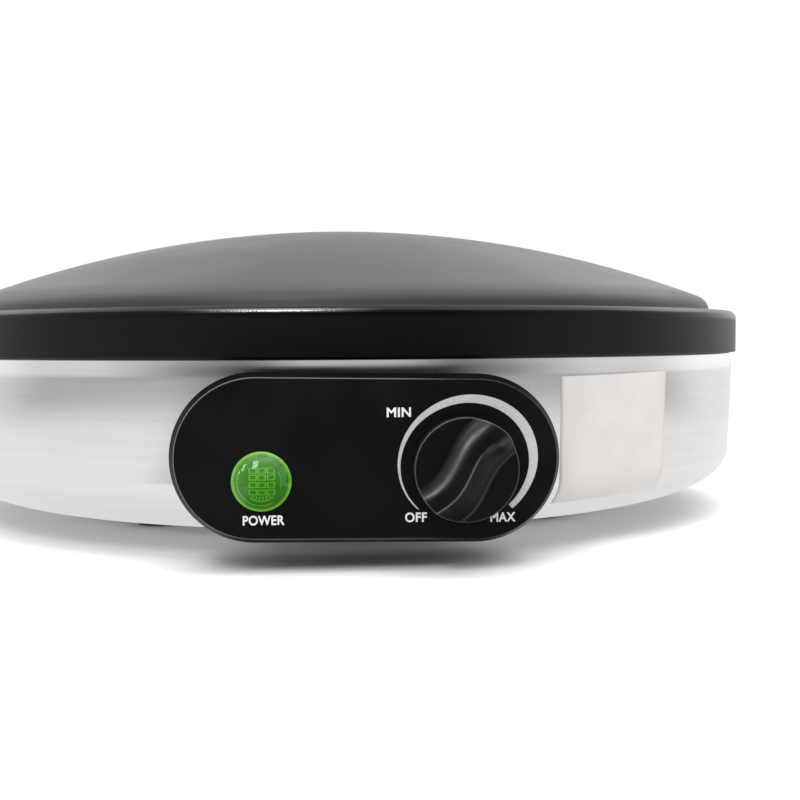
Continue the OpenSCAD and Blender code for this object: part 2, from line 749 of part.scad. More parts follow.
shaft_in = 8;
module thermostat_body() {
    color(ceramic) at_knob() translate([0, 0, -stat_depth_z])
        difference() {
            union() {
                translate([-stat_w / 2, -stat_w / 2, 0]) cube([stat_w, stat_w, stat_depth * 0.6]);
                translate([0, 0, stat_depth * 0.6]) cylinder(d = stat_w - 2, h = stat_depth * 0.4);
                translate([-stat_w / 2, -5, stat_depth * 0.6]) cube([stat_w, 10, stat_depth * 0.4]);
                cylinder(d = bush_d, h = stat_depth + bracket_t + bush_len);
            }
            translate([0, 0, stat_depth - shaft_in]) cylinder(d = shaft_d + 2 * run, h = 60);
            for (s = [-1, 1]) translate([s * stat_screw_pitch / 2, 0, stat_depth - 6])
                cylinder(d = 3 + 2 * play, h = 7);
        }
}

tab_len = 8;
tab_places = [[-8, 8], [8, 8], [0, -10]];
module thermostat_tabs() {
    color(brass) at_knob() for (p = tab_places)
        translate([p.x - 0.4, p.y - 3.15, -stat_depth_z - tab_len]) cube([0.8, 6.3, tab_len]);
}

module thermostat_screws() {
    color(zinc) at_knob() for (s = [-1, 1]) translate([s * stat_screw_pitch / 2, 0, -knob_bracket])
        rotate([180, 0, 0]) screw(3, bracket_t + 5, 5.6, 2);
}

// Flat on one side of the shaft, cut 1.5 mm deep, over the length that the knob holds
hub_len = knob_base_h + 4;
module thermostat_shaft() {
    from = -knob_bracket - bracket_t - shaft_in + 0.5;
    color(brass) at_knob() difference() {
        translate([0, 0, from]) cylinder(d = shaft_d, h = knob_gap + hub_len - 0.5 - from);
        rotate(off_angle) translate([-shaft_d, shaft_d / 2 - 1.5, 0])
            cube([2 * shaft_d, shaft_d, hub_len + 2]);
    }
}

// Section of the grip at the distance u along it. All its edges swing as one wave. On one side
// a quarter ellipse rises to the flat top. On the other a hollow flank falls from a crisp edge,
// and towards one end of the grip that edge melts into a half wave.
function flank(t, melt) = (1 - melt) * pow(1 - t, 1.15) + melt * (0.5 + 0.5 * cos(180 * t));
function grip_ring(u) =
    let (r = knob_d / 2, wave = sin(9.5 * u), melt = pow(max(0, min(1, u / r * 2.1 - 0.55)), 2))
    let (h = grip_h * (1 - (u > 0 ? 0.14 : 0.24) * pow(u / r, 4)))
    let (soft = r * (0.259 + 0.058 * wave), soft_foot = r * (0.503 + 0.085 * wave))
    let (crisp = r * (0.09 * wave - 0.026), crisp_foot = r * (0.085 * wave - 0.503))
    concat(
        [[u, crisp_foot, -1], [u, soft_foot, -1], [u, soft_foot, 0]],
        [for (a = [20 : 17.5 : 90]) [u, soft_foot + (soft - soft_foot) * (1 - cos(a)), h * sin(a)]],
        [for (t = [0 : 0.25 : 1]) [u, crisp + (crisp_foot - crisp) * t, h * flank(t, melt)]]
    );

module control_knob() {
    r = knob_d / 2;
    color(black) at_knob() rotate(off_angle) difference() {
        union() {
            translate([0, 0, knob_gap]) difference() {
                rotate_extrude($fn = 120) polygon(rounded([
                    [0, 0, 0], [r, 0, 0.3], [r, knob_base_h, 0.8], [0, knob_base_h, 0]
                ]));
                translate([0, 0, -eps]) difference() {
                    cylinder(r = r - 2.2, h = knob_base_h - 2.2);
                    cylinder(d = hub_d, h = knob_base_h);
                }
            }
            translate([0, 0, knob_gap + knob_base_h]) intersection() {
                loft([for (i = [-12 : 12]) grip_ring(i * r / 12)]);
                translate([0, 0, -1]) cylinder(r = r - 0.05, h = grip_h + 2, $fn = 120);
            }
        }
        translate([0, 0, knob_gap - eps]) difference() {
            cylinder(d = shaft_d + 2 * play, h = hub_len);
            translate([-shaft_d, shaft_d / 2 - 1.5 + 0.8, -eps]) cube([2 * shaft_d, shaft_d, hub_len + 1]);
        }
    }
}

module knob_clip() {
    color(steel) at_knob() rotate(off_angle)
        translate([-1.8, shaft_d / 2 - 1.5 + play, knob_gap + 1]) cube([3.6, 0.6, hub_len - 3]);
}

// The pilot light

module indicator_lens() {
    color(green) at_lamp() rotate_extrude($fn = 96) polygon(rounded([
        [0, lens_h, 0],
        [lens_d * 0.3, lens_h - 0.4, 8],
        [lens_d / 2 - 1, lens_h * 0.55, 2.4],
        [lens_d / 2, play, 0.4],
        [lamp_d / 2, play, 0],
        [lamp_d / 2 - 1.2, -1, 0],
        [lamp_d / 2 - 1.2, -6, 0],
        [lamp_d / 2 - 2.6, -6, 0],
        [lamp_d / 2 - 2.6, lens_h - 3.4, 1],
        [0, lens_h - 2.6, 0]
    ]));
}

module lamp_housing() {
    color(ceramic) at_lamp() rotate_extrude($fn = 96) polygon([
        [lamp_d / 2, play - 0.2], [lamp_d / 2, -lamp_len], [0, -lamp_len], [0, -lamp_len + 2],
        [lamp_d / 2 - 1.2 + play, -lamp_len + 2], [lamp_d / 2 - 1.2 + play, -1.2]
    ]);
}

neon_len = 14;
module neon_lamp() {
    color("white") at_lamp() {
        translate([0, 0, -6]) sphere(d = 6);
        translate([0, 0, -6 - neon_len]) cylinder(d = 6, h = neon_len);
        for (x = [-3, 3]) translate([x, 0, 0]) lead();
    }
}

module lead() translate([0, 0, 2 - lamp_len + play]) cylinder(d = 1.2, h = lamp_len - 8 - neon_len + 4);

module lamp_nut() {
    color(steel) at_lamp() translate([0, 0, -panel_t - play - nut_t])
        difference() {
            cylinder(d = lamp_d + 7, h = nut_t);
            translate([0, 0, -eps]) cylinder(d = lamp_d + 2 * play, h = nut_t + 1);
        }
}

// The mains side

block_z = base_z + base_t;
function way_x(i) = block_x + (i - (block_ways - 1) / 2) * block_pitch;

module terminal_block() {
    color(ceramic) difference() {
        translate([block_x - block_size.x / 2, block_y - block_size.y / 2, block_z]) cube(block_size);
        for (i = [0 : block_ways - 1]) translate([way_x(i), block_y, block_z]) {
            translate([0, -block_size.y, 8]) rotate([-90, 0, 0]) cylinder(d = 4, h = 2 * block_size.y);
            for (y = [-5, 5]) translate([0, y, 8]) cylinder(d = 4.6, h = 20);
        }
    }
}

module terminal_screws() {
    color(brass) for (i = [0 : block_ways - 1], y = [-5, 5])
        translate([way_x(i), block_y + y, block_z + block_size.z - 2]) rotate([180, 0, 0])
            screw(3.5, 2, 4.2, 1.6);
}

module earth_tag() {
    color(brass) translate([earth_place.x, earth_place.y, base_z + base_t + play]) difference() {
        union() {
            cylinder(d = 9, h = 0.8);
            translate([-9, -2, 0]) cube([9, 4, 0.8]);
            translate([-13, 0, 1.7]) rotate([0, 90, 0]) cylinder(d = 3.4, h = 5);
        }
        translate([0, 0, -eps]) cylinder(d = 4 + 2 * play, h = 2);
    }
}

module earth_screw() {
    color(brass) translate([earth_place.x, earth_place.y, base_z + base_t + play + 0.8])
        rotate([180, 0, 0]) screw(4, base_t + 3.5, 8, 2.4);
}

gland_in = 12;
module at_gland() translate([0, gland_y, gland_z]) rotate([-90, 0, 0]) children();

module cord_gland() {
    color(black) at_gland() difference() {
        union() {
            rotate_extrude($fn = 72) polygon(rounded([
                [0, 0, 0], [gland_flange_r, 0, 0.6], [gland_flange_r - 1.5, gland_proud, 1.2],
                [0, gland_proud, 0]
            ]));
            translate([0, 0, -gland_in]) cylinder(d = gland_d, h = gland_in + 1);
        }
        translate([0, 0, -gland_in - eps]) cylinder(d = gland_bore, h = gland_in + gland_proud + 1);
    }
}

module gland_nut() {
    r = body_r(gland_z - gland_flange_r) - sheet_t;
    in = gland_y - sqrt(r * r - gland_flange_r * gland_flange_r) + play;
    color(black) at_gland() translate([0, 0, -in - 4]) difference() {
        cylinder(r = gland_flange_r, h = 4, $fn = 6);
        translate([0, 0, -eps]) cylinder(d = gland_d + 2 * play, h = 5);
    }
}

// Wires, with routes of hand-picked points that start and end at the pieces they join

stat_back = -panel_y + stat_depth_z + tab_len + 0.2;
stat_z = panel_z + knob_rise;
pin_z = cold_z - 10.2;
outer_pin = turned([loop_out_r, -bend_r], terminal_angle);
inner_pin = turned([loop_in_r, -bend_r], terminal_angle);
lamp_back = -panel_y + lamp_len + 0.2;
lamp_z = panel_z + lens_rise;
block_front = block_y - block_size.y / 2 - 0.2;
way_z = block_z + 8;

function tab(i) = [knob_x + tab_places[i].x, stat_back, stat_z + tab_places[i].y];
function behind(p, d) = [p.x, p.y + d, p.z];

// A point of a route, as fractions of the outer loop's radius and of the height up to the shield
function spot(u, v, w) = [u * loop_out_r, v * loop_out_r, base_z + w * (shield_z - base_z)];

capillary = [
    [knob_x - 7, -panel_y + stat_depth_z - 5, stat_z + stat_w / 2 + 0.2],
    [knob_x - 7, -panel_y + stat_depth_z - 5, stat_z + stat_w / 2 + 16],
    spot(0.22, -1.12, 0.878),
    spot(0.233, -1.053, 1),
    spot(0.24, -0.973, 1.056),
    spot(0.227, -0.867, 1.109),
    spot(0.207, -0.7, 1.182),
    spot(0.207, -0.567, 1.249),
    spot(0.233, -0.433, 1.353),
    [bulb_len / 2 + 14, bulb_y - 2, bulb_z - 3],
    [bulb_len / 2 + 12, bulb_y, bulb_z],
    [bulb_len / 2 + 0.2, bulb_y, bulb_z]
];

module capillary_tube() color(copper) rod(capillary, 2);

// A wire's first two points, at way i of the terminal block
function from_way(i) = [[way_x(i), block_front, way_z], [way_x(i), block_front - 11, way_z - 0.5]];

module wire_live() {
    color("saddlebrown") rod([
        each from_way(2), spot(-0.227, 0.267, 0.075), spot(-0.12, -0.133, 0.075), spot(0.053, -0.533, 0.112),
        spot(0.16, -0.833, 0.294), behind(tab(0), 12), tab(0)
    ], wire_d);
}

module wire_neutral() {
    color("royalblue") rod([
        each from_way(1), spot(-0.36, 0.233, 0.173), spot(-0.4, -0.1, 0.319), spot(-0.36, -0.367, 0.489),
        [inner_pin.x, inner_pin.y, pin_z - 12], [inner_pin.x, inner_pin.y, pin_z - 0.2]
    ], wire_d);
}

module wire_earth() {
    color("green") rod([
        each from_way(3), [earth_place.x - 24, earth_place.y + 2, base_z + 4.2],
        [earth_place.x - 13.2, earth_place.y, base_z + base_t + play + 1.7]
    ], wire_d);
}

module wire_switched() {
    color("black") rod([
        tab(1), behind(tab(1), 12), spot(0.32, -0.787, 0.574), spot(0.253, -0.467, 0.757),
        spot(0.12, -0.173, 0.878), spot(fuse_x / loop_out_r, -0.087, 1.024),
        spot(fuse_x / loop_out_r, -0.12, 1.219), [fuse_x, -24, fuse_z - 6], [fuse_x, -21, fuse_z],
        [fuse_x, -14.2, fuse_z]
    ], wire_d);
}

module wire_fused() {
    color("black") rod([
        [fuse_x, 14.2, fuse_z], [fuse_x, 21, fuse_z], [fuse_x, 23, fuse_z - 6],
        spot(0.04, 0.1, 1.219), spot(0.013, 0.067, 1.024), spot(-0.067, -0.1, 0.83),
        spot(-0.093, -0.4, 0.72), spot(-0.213, -0.747, 0.635),
        [outer_pin.x + 3, outer_pin.y + 1, pin_z - 9], [outer_pin.x, outer_pin.y, pin_z - 0.1]
    ], wire_d);
}

module wire_lamp_live() {
    color("dimgray") rod([
        tab(2), behind(tab(2), 10), spot(0.08, -0.947, 0.197), spot(-0.1, -0.967, 0.234),
        spot(-0.207, -1.033, 0.282), [lens_x + 3, lamp_back + 12, lamp_z], [lens_x + 3, lamp_back, lamp_z]
    ], lamp_wire_d, 3, 6);
}

module wire_lamp_neutral() {
    color("royalblue") rod([
        [lens_x - 3, lamp_back, lamp_z], [lens_x - 3, lamp_back + 12, lamp_z], spot(-0.373, -0.933, 0.221),
        spot(-0.467, -0.533, 0.112), spot(-0.507, 0, 0.075), spot(-0.467, 0.367, 0.088),
        [way_x(0), block_front - 11, way_z], [way_x(0), block_front, way_z]
    ], lamp_wire_d, 3, 6);
}

// The whole part, moved so that its middle stands over the origin

module place() translate([0, axis_y, 0]) children();

place() baking_plate();
place() heating_element();
place() element_clamps();
place() clamp_screws();
place() terminal_bushes();
place() heat_shield();
for (i = [1 : 4])
    place() tie_spacer(i);
place() tie_bolts();
place() outer_body();
place() base_plate();
place() base_screws();
for (i = [1 : 4])
    place() foot(i);
place() foot_screws();
place() foot_nuts();
place() control_panel();
place() thermostat_bracket();
place() lamp_bracket();
place() panel_screws();
place() thermostat_body();
place() thermostat_tabs();
place() thermostat_screws();
place() sensor_bulb();
place() capillary_tube();
place() bulb_clip();
place() thermostat_shaft();
place() control_knob();
place() knob_clip();
place() indicator_lens();
place() lamp_housing();
place() neon_lamp();
place() lamp_nut();
place() thermal_fuse();
place() fuse_clip();
place() terminal_block();
place() terminal_screws();
place() earth_tag();
place() earth_screw();
place() cord_gland();
place() gland_nut();
place() wire_live();
place() wire_neutral();
place() wire_earth();
place() wire_switched();
place() wire_fused();
place() wire_lamp_live();
place() wire_lamp_neutral();
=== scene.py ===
"""Looks of an electric flatbread maker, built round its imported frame.

A domed cast plate with a dark coating sits on a round stainless housing. At the front a
black panel carries the thermostat knob, its printed dial and a green pilot light. Lengths
are metres and angles are degrees, unless a docstring says otherwise.
"""

from __future__ import annotations

import json
import logging
import math
from dataclasses import dataclass
from enum import Enum
from functools import cache, reduce

import bmesh
import bpy
import numpy as np
from mathutils import Matrix, Vector


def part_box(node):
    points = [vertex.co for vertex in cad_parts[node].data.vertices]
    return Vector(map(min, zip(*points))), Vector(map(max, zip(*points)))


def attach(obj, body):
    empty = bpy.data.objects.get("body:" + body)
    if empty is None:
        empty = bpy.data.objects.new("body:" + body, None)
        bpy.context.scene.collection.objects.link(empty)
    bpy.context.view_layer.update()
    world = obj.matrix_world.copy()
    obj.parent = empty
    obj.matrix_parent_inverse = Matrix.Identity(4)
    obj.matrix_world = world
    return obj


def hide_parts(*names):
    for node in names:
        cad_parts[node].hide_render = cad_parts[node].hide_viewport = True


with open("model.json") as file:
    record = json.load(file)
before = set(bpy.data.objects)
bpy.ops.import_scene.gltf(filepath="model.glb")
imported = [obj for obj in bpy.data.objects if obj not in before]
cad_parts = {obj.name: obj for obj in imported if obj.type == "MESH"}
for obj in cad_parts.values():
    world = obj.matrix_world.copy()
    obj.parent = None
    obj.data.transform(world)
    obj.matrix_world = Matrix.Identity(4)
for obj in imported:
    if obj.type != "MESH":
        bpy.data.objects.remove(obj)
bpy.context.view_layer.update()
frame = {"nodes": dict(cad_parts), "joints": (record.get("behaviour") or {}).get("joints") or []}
LOG = logging.getLogger("flatbread_maker")
MILLI = 1000
SEGMENTS = 288
SHARP = 35.0
TO_WALL = 1.0
PRINT_FOOT = 0.00001
WHITE = (1.0, 1.0, 1.0)

Points = np.ndarray
Pair = tuple[float, float]
Triple = tuple[float, float, float]
Colour = Triple
Item = bpy.types.Object
Node = bpy.types.Node
Socket = bpy.types.NodeSocket
Inputs = dict[str | int, object]


class Body(Enum):
    """The two bodies of the frame."""

    BASE = "base"
    KNOB = "knob"


# Meshes


def rounded(corners: list[Triple], steps: int = 6) -> Points:
    """Rounds the inner corners of a path in a plane.

    Each rounded corner is an arc that touches both sides: its centre lies on the corner's
    bisector, at radius / sin(half the corner's angle).

    Args:
        corners: (x, y, radius) points in order; the first and last stay as they are.
        steps: pieces in each arc.

    Returns:
        An array of (x, y) points.
    """
    path = [np.array(corners[0][:2])]
    for before, here, after in zip(corners, corners[1:], corners[2:]):
        point, radius = np.array(here[:2]), here[2]
        if radius == 0:
            path.append(point)
            continue
        u = np.array(before[:2]) - point
        v = np.array(after[:2]) - point
        u, v = u / np.hypot(*u), v / np.hypot(*v)
        half = math.acos(float(np.clip(u @ v, -1, 1))) / 2
        bisector = (u + v) / np.hypot(*(u + v))
        centre = point + bisector * radius / math.sin(half)
        start = point + u * radius / math.tan(half) - centre
        side = 1 if u[0] * v[1] - u[1] * v[0] < 0 else -1
        turn = side * (math.pi - 2 * half) * np.linspace(0, 1, steps + 1)[:, None]
        path.extend(centre + start * np.cos(turn) + np.array([-start[1], start[0]]) * np.sin(turn))
    path.append(np.array(corners[-1][:2]))
    return np.array(path)


def arc(centre: Pair, radius: float, start: float, end: float, steps: int) -> Points:
    """Points on an arc whose angles are measured from the vertical."""
    a = np.radians(np.linspace(start, end, steps + 1))
    return np.stack([centre[0] + radius * np.sin(a), centre[1] + radius * np.cos(a)], axis=1)


def offset(path: Points, thickness: float) -> Points:
    """Moves a path to its left by a thickness, along the mitred normal at each point."""
    step = np.diff(path, axis=0)
    step /= np.linalg.norm(step, axis=1)[:, None]
    normal = np.stack([-step[:, 1], step[:, 0]], axis=1)
    first = np.vstack([normal[:1], normal])
    second = np.vstack([normal, normal[-1:]])
    mitre = (first + second) / (1 + np.sum(first * second, axis=1))[:, None]
    return path + mitre * thickness


def smooth_through(x: np.ndarray, y: np.ndarray, at: np.ndarray) -> np.ndarray:
    """A cubic curve through the points (x, y), read at given x values (Catmull and Rom's rule)."""
    slope = np.gradient(y, x)
    i = np.clip(np.searchsorted(x, at) - 1, 0, len(x) - 2)
    width = x[i + 1] - x[i]
    t = np.clip((at - x[i]) / width, 0, 1)
    return (
        (2 * t**3 - 3 * t**2 + 1) * y[i]
        + (t**3 - 2 * t**2 + t) * width * slope[i]
        + (3 * t**2 - 2 * t**3) * y[i + 1]
        + (t**3 - t**2) * width * slope[i + 1]
    )


def bell(distance: np.ndarray, width: float) -> np.ndarray:
    """One at no distance, falling off as an exponential of the square of distance over width."""
    return np.exp(-((distance / width) ** 2))


def linked(name: str, data: bpy.types.ID) -> Item:
    """A new object in the scene."""
    made = bpy.data.objects.new(name, data)
    bpy.context.scene.collection.objects.link(made)
    return made


def piece(name: str, grid: Points, sharp: float = SHARP, loops: tuple[bool, bool] = (False, True)) -> Item:
    """Makes one object of a grid of points.

    Args:
        name: the piece's name.
        grid: array of shape (rows, columns, 3); neighbours become four-sided faces.
        sharp: angle past which an edge stays sharp.
        loops: whether the last row joins the first, and the last column joins the first.

    Returns:
        The linked object, with doubled points merged and its faces turned outwards.
    """
    rows, columns = grid.shape[:2]
    i = np.arange(rows if loops[0] else rows - 1)[:, None]
    k = np.arange(columns if loops[1] else columns - 1)[None, :]
    i2, k2 = (i + 1) % rows, (k + 1) % columns
    quads = np.stack([i * columns + k, i * columns + k2, i2 * columns + k2, i2 * columns + k], axis=-1)
    mesh = bpy.data.meshes.new(name)
    mesh.from_pydata(grid.reshape(-1, 3).tolist(), [], quads.reshape(-1, 4).tolist())
    finish_mesh(mesh, sharp)
    return linked(name, mesh)


def coordinates(made: Item) -> Points:
    """The mesh's points as an array of (x, y, z) rows."""
    flat = np.empty(len(made.data.vertices) * 3)
    made.data.vertices.foreach_get("co", flat)
    return flat.reshape(-1, 3)


def keep_values(made: Item, name: str, values: np.ndarray) -> None:
    """Keeps one number for each point on the mesh, for its finish to read."""
    made.data.attributes.new(name, "FLOAT", "POINT").data.foreach_set("value", values)


def finish_mesh(mesh: bpy.types.Mesh, sharp: float = SHARP) -> None:
    """Merges doubled points, turns the faces outwards and sets the shading of a mesh."""
    work = bmesh.new()
    work.from_mesh(mesh)
    bmesh.ops.remove_doubles(work, verts=work.verts, dist=2e-6)
    bmesh.ops.dissolve_degenerate(work, edges=work.edges, dist=1e-7)
    bmesh.ops.recalc_face_normals(work, faces=work.faces)
    work.to_mesh(mesh)
    work.free()
    mesh.shade_smooth()
    mesh.set_sharp_from_angle(angle=math.radians(sharp))


def cap_ends(made: Item) -> None:
    """Closes the open ends of a thin strip."""
    work = bmesh.new()
    work.from_mesh(made.data)
    bmesh.ops.holes_fill(work, edges=[e for e in work.edges if e.is_boundary], sides=0)
    bmesh.ops.recalc_face_normals(work, faces=work.faces)
    work.to_mesh(made.data)
    work.free()


def revolved(profile: Points, axis: Pair, segments: int = SEGMENTS) -> Points:
    """Turns an (r, z) profile about a vertical axis: x = r cos a, y = r sin a, at even angles a."""
    a = np.radians(np.linspace(0, 360, segments, endpoint=False))
    r, z = profile[:, :1], profile[:, 1:]
    return np.stack([axis[0] + r * np.cos(a), axis[1] + r * np.sin(a), z + 0 * a], axis=-1)


def turned(points: Points, angle: float) -> Points:
    """Turns points in their first two coordinates, anticlockwise."""
    a = math.radians(angle)
    x, y, *rest = np.moveaxis(points, -1, 0)
    return np.stack([x * math.cos(a) - y * math.sin(a), x * math.sin(a) + y * math.cos(a), *rest], axis=-1)


def faced(points: Points, centre: Vector) -> Points:
    """Stands a shape made in (across, up, outwards) on the panel: up is +Z and outwards is -Y."""
    x, y, z = np.moveaxis(points, -1, 0)
    return np.stack([centre.x + x, centre.y - z, centre.z + y], axis=-1)


def round_size(low: Vector, high: Vector) -> tuple[Pair, float, float, float]:
    """The vertical axis, radius, bottom and top of a round node, from its box."""
    return ((low.x + high.x) / 2, (low.y + high.y) / 2), (high.x - low.x) / 2, low.z, high.z


def carry(made: Item, body: Body, finish: Finish, *nodes: str, slot: str | None = None) -> None:
    """Dresses a new piece, makes it ride on a body and hides the nodes that it stands for.

    Args:
        made: the new piece.
        body: the body that it rides on.
        finish: its finish.
        nodes: the nodes of the frame that it replaces.
        slot: not used.
    """
    made.data.materials.append(finish.material())
    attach(made, body.value)
    if nodes:
        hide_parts(*nodes)


# Shader nodes


class Shader:
    """Adds and links the nodes of one node tree."""

    def __init__(self, tree: bpy.types.NodeTree) -> None:
        """Keeps the tree to work in."""
        self.tree = tree

    def feed(self, node: Node, inputs: Inputs) -> Node:
        """Links or sets inputs of a node.

        Args:
            node: the node.
            inputs: a socket, a number, a vector or a colour without alpha for each input.

        Returns:
            The node.
        """
        for key, value in inputs.items():
            socket = node.inputs[key]
            if isinstance(value, Socket):
                self.tree.links.new(value, socket)
            else:
                socket.default_value = (*value, 1.0) if socket.type == "RGBA" else value
        return node

    def add(self, kind: str, inputs: Inputs | None = None, **settings: object) -> Node:
        """Adds a node.

        Args:
            kind: the node's type name, with or without its ShaderNode prefix.
            inputs: what feed takes.
            settings: the node's own properties.

        Returns:
            The new node.
        """
        node = self.tree.nodes.new(kind if kind.startswith("Node") else "ShaderNode" + kind)
        for key, value in settings.items():
            setattr(node, key, value)
        return self.feed(node, inputs or {})

    def math(self, operation: str, a: object, b: object = 0.0) -> Socket:
        """The result of a Math node."""
        return self.add("Math", {0: a, 1: b}, operation=operation).outputs[0]

    def plus(self, a: object, b: object) -> Socket:
        """The sum of two values."""
        return self.math("ADD", a, b)

    def minus(self, a: object, b: object) -> Socket:
        """The first value less the second."""
        return self.math("SUBTRACT", a, b)

    def times(self, *values: object) -> Socket:
        """The product of two or more values."""
        return reduce(lambda a, b: self.math("MULTIPLY", a, b), values)

    def most(self, a: object, b: object) -> Socket:
        """The larger of two values."""
        return self.math("MAXIMUM", a, b)

    def blend(self, factor: object, a: object, b: object) -> Socket:
        """A mix of two numbers: a + factor (b - a)."""
        return self.plus(a, self.times(factor, self.minus(b, a)))

    def span(
        self, value: object, low: float, high: float, to_low: float = 0.0, to_high: float = 1.0
    ) -> Socket:
        """Maps low to high onto another range with a smooth step."""
        inputs = {"Value": value, "From Min": low, "From Max": high, "To Min": to_low, "To Max": to_high}
        return self.add("MapRange", inputs, interpolation_type="SMOOTHSTEP").outputs[0]

    def between(self, factor: object, low: float, high: float) -> Socket:
        """A number that goes smoothly from low to high as a factor goes from zero to one."""
        return self.span(factor, 0.0, 1.0, low, high)

    def mix(self, factor: object, a: object, b: object) -> Socket:
        """A mix of two colours."""
        return self.add("Mix", {"Factor": factor, 6: a, 7: b}, data_type="RGBA").outputs[2]

    def vector(self, operation: str, a: object, b: object) -> Node:
        """A Vector Math node."""
        return self.add("VectorMath", {0: a, 1: b}, operation=operation)

    def split(self, vector: Socket) -> bpy.types.NodeOutputs:
        """The x, y and z of a vector."""
        return self.add("SeparateXYZ", {0: vector}).outputs

    def noise(self, point: Socket, scale: object, detail: float, roughness: float) -> Socket:
        """Noise from zero to one."""
        inputs = {"Vector": point, "Scale": scale, "Detail": detail, "Roughness": roughness}
        return self.add("TexNoise", inputs).outputs["Fac"]

    def object_point(self) -> Socket:
        """The shaded point in the object's own coordinates."""
        return self.add("TexCoord").outputs["Object"]

    def kept(self, name: str) -> Socket:
        """A value that keep_values left on the mesh, or zero where there is none."""
        return self.add("Attribute", attribute_name=name).outputs["Fac"]

    def bump(self, height: Socket, depth: float) -> Socket:
        """A normal bumped by a height, to a depth."""
        return self.add("Bump", {"Height": height, "Distance": depth, "Strength": 1.0}).outputs[0]

    def grain(self, point: Socket, size: float, patch: float) -> tuple[Socket, Socket]:
        """Height and tint of the shared grain, for a size of grain and of patch."""
        inputs = {"Vector": point, "Size": size, "Patch": patch}
        node = self.add("Group", inputs, node_tree=grain_group())
        return node.outputs["Height"], node.outputs["Tint"]

    def reach(self, point: Socket, axis: Pair) -> tuple[Socket, Socket]:
        """A point's distance from a vertical axis, and its height."""
        inputs = {"Vector": point, "Axis X": axis[0], "Axis Y": axis[1]}
        node = self.add("Group", inputs, node_tree=reach_group())
        return node.outputs["Radius"], node.outputs["Height"]


def new_group(
    name: str, inputs: dict[str, float], outputs: tuple[str, ...]
) -> tuple[Shader, bpy.types.NodeOutputs, Node]:
    """Starts a shader node group whose first input is a vector.

    Args:
        name: the group's name.
        inputs: default number of each input after the vector.
        outputs: names of the numbers that it gives.

    Returns:
        The shader to add nodes with, the given inputs' sockets and the node for the results.
    """
    tree = bpy.data.node_groups.new(name, "ShaderNodeTree")
    tree.interface.new_socket("Vector", in_out="INPUT", socket_type="NodeSocketVector")
    for key, value in inputs.items():
        socket = tree.interface.new_socket(key, in_out="INPUT", socket_type="NodeSocketFloat")
        socket.default_value = value
    for key in outputs:
        tree.interface.new_socket(key, in_out="OUTPUT", socket_type="NodeSocketFloat")
    shader = Shader(tree)
    return shader, shader.add("NodeGroupInput").outputs, shader.add("NodeGroupOutput")


@cache
def grain_group() -> bpy.types.NodeTree:
    """Fine moulded or blasted grain: noise in octaves as a height, and a slow tint."""
    s, given, result = new_group("grain", {"Size": 0.0004, "Patch": 0.03}, ("Height", "Tint"))
    fine = s.noise(given["Vector"], s.math("DIVIDE", 1.0, given["Size"]), 2.0, 0.6)
    slow = s.noise(given["Vector"], s.math("DIVIDE", 1.0, given["Patch"]), 3.0, 0.55)
    s.feed(result, {"Height": fine, "Tint": s.span(slow, 0.3, 0.7)})
    return s.tree


@cache
def brushing_group() -> bpy.types.NodeTree:
    """Lines of a brushed sheet: noise squeezed across the lines and drawn out along them."""
    s, given, result = new_group("brushing", {"Along": 0.03, "Across": 0.0002}, ("Height", "Streak"))
    along = s.math("DIVIDE", 1.0, given["Along"])
    across = s.math("DIVIDE", 1.0, given["Across"])

    def lines(level: Socket, upright: Socket, detail: float, roughness: float) -> Socket:
        """Noise at one rate in the level and another up the sheet."""
        rate = s.add("CombineXYZ", {0: level, 1: level, 2: upright}).outputs[0]
        return s.noise(s.vector("MULTIPLY", given["Vector"], rate).outputs[0], 1.0, detail, roughness)

    broad = lines(s.times(along, 0.6), s.times(across, 0.08), 2.0, 0.6)
    s.feed(result, {"Height": lines(along, across, 3.0, 0.7), "Streak": s.span(broad, 0.25, 0.75)})
    return s.tree


@cache
def speck_group() -> bpy.types.NodeTree:
    """Small round specks about the points of a Voronoi pattern, in somewhat under half its cells."""
    s, given, result = new_group("specks", {"Spacing": 0.002, "Fill": 0.15}, ("Mask",))
    scale = s.math("DIVIDE", 1.0, given["Spacing"])
    cells = s.add("TexVoronoi", {"Vector": given["Vector"], "Scale": scale, "Randomness": 1.0}).outputs
    near = s.math("LESS_THAN", cells["Distance"], given["Fill"])
    draw = s.add("SeparateColor", {"Color": cells["Color"]}).outputs[0]
    s.feed(result, {"Mask": s.times(near, s.math("GREATER_THAN", draw, 0.55))})
    return s.tree


@cache
def reach_group() -> bpy.types.NodeTree:
    """Distance from a vertical axis: the length of (x, y) after the axis is taken off."""
    s, given, result = new_group("reach", {"Axis X": 0.0, "Axis Y": 0.0}, ("Radius", "Height"))
    split = s.split(given["Vector"])
    x = s.minus(split[0], given["Axis X"])
    y = s.minus(split[1], given["Axis Y"])
    radius = s.math("SQRT", s.plus(s.times(x, x), s.times(y, y)))
    s.feed(result, {"Radius": radius, "Height": split[2]})
    return s.tree


def new_material(name: str) -> tuple[bpy.types.Material, Shader, Node]:
    """A new material, its shader and its surface node."""
    made = bpy.data.materials.new(name)
    made.use_nodes = True
    return made, Shader(made.node_tree), made.node_tree.nodes["Principled BSDF"]


def shade(colour: Colour, factor: float) -> Colour:
    """A darker or lighter colour."""
    return tuple(min(1.0, c * factor) for c in colour)


# Finishes


@dataclass(frozen=True)
class Finish:
    """A surface finish; each kind fills in its own shader once."""

    name: str

    def material(self) -> bpy.types.Material:
        """The finish's material, made on first use."""
        title = "look_" + self.name
        known = bpy.data.materials.get(title)
        if known:
            return known
        made, shader, surface = new_material(title)
        self.fill(shader, surface)
        return made

    def fill(self, s: Shader, surface: Node) -> None:
        """Sets the shader of this finish."""
        raise NotImplementedError


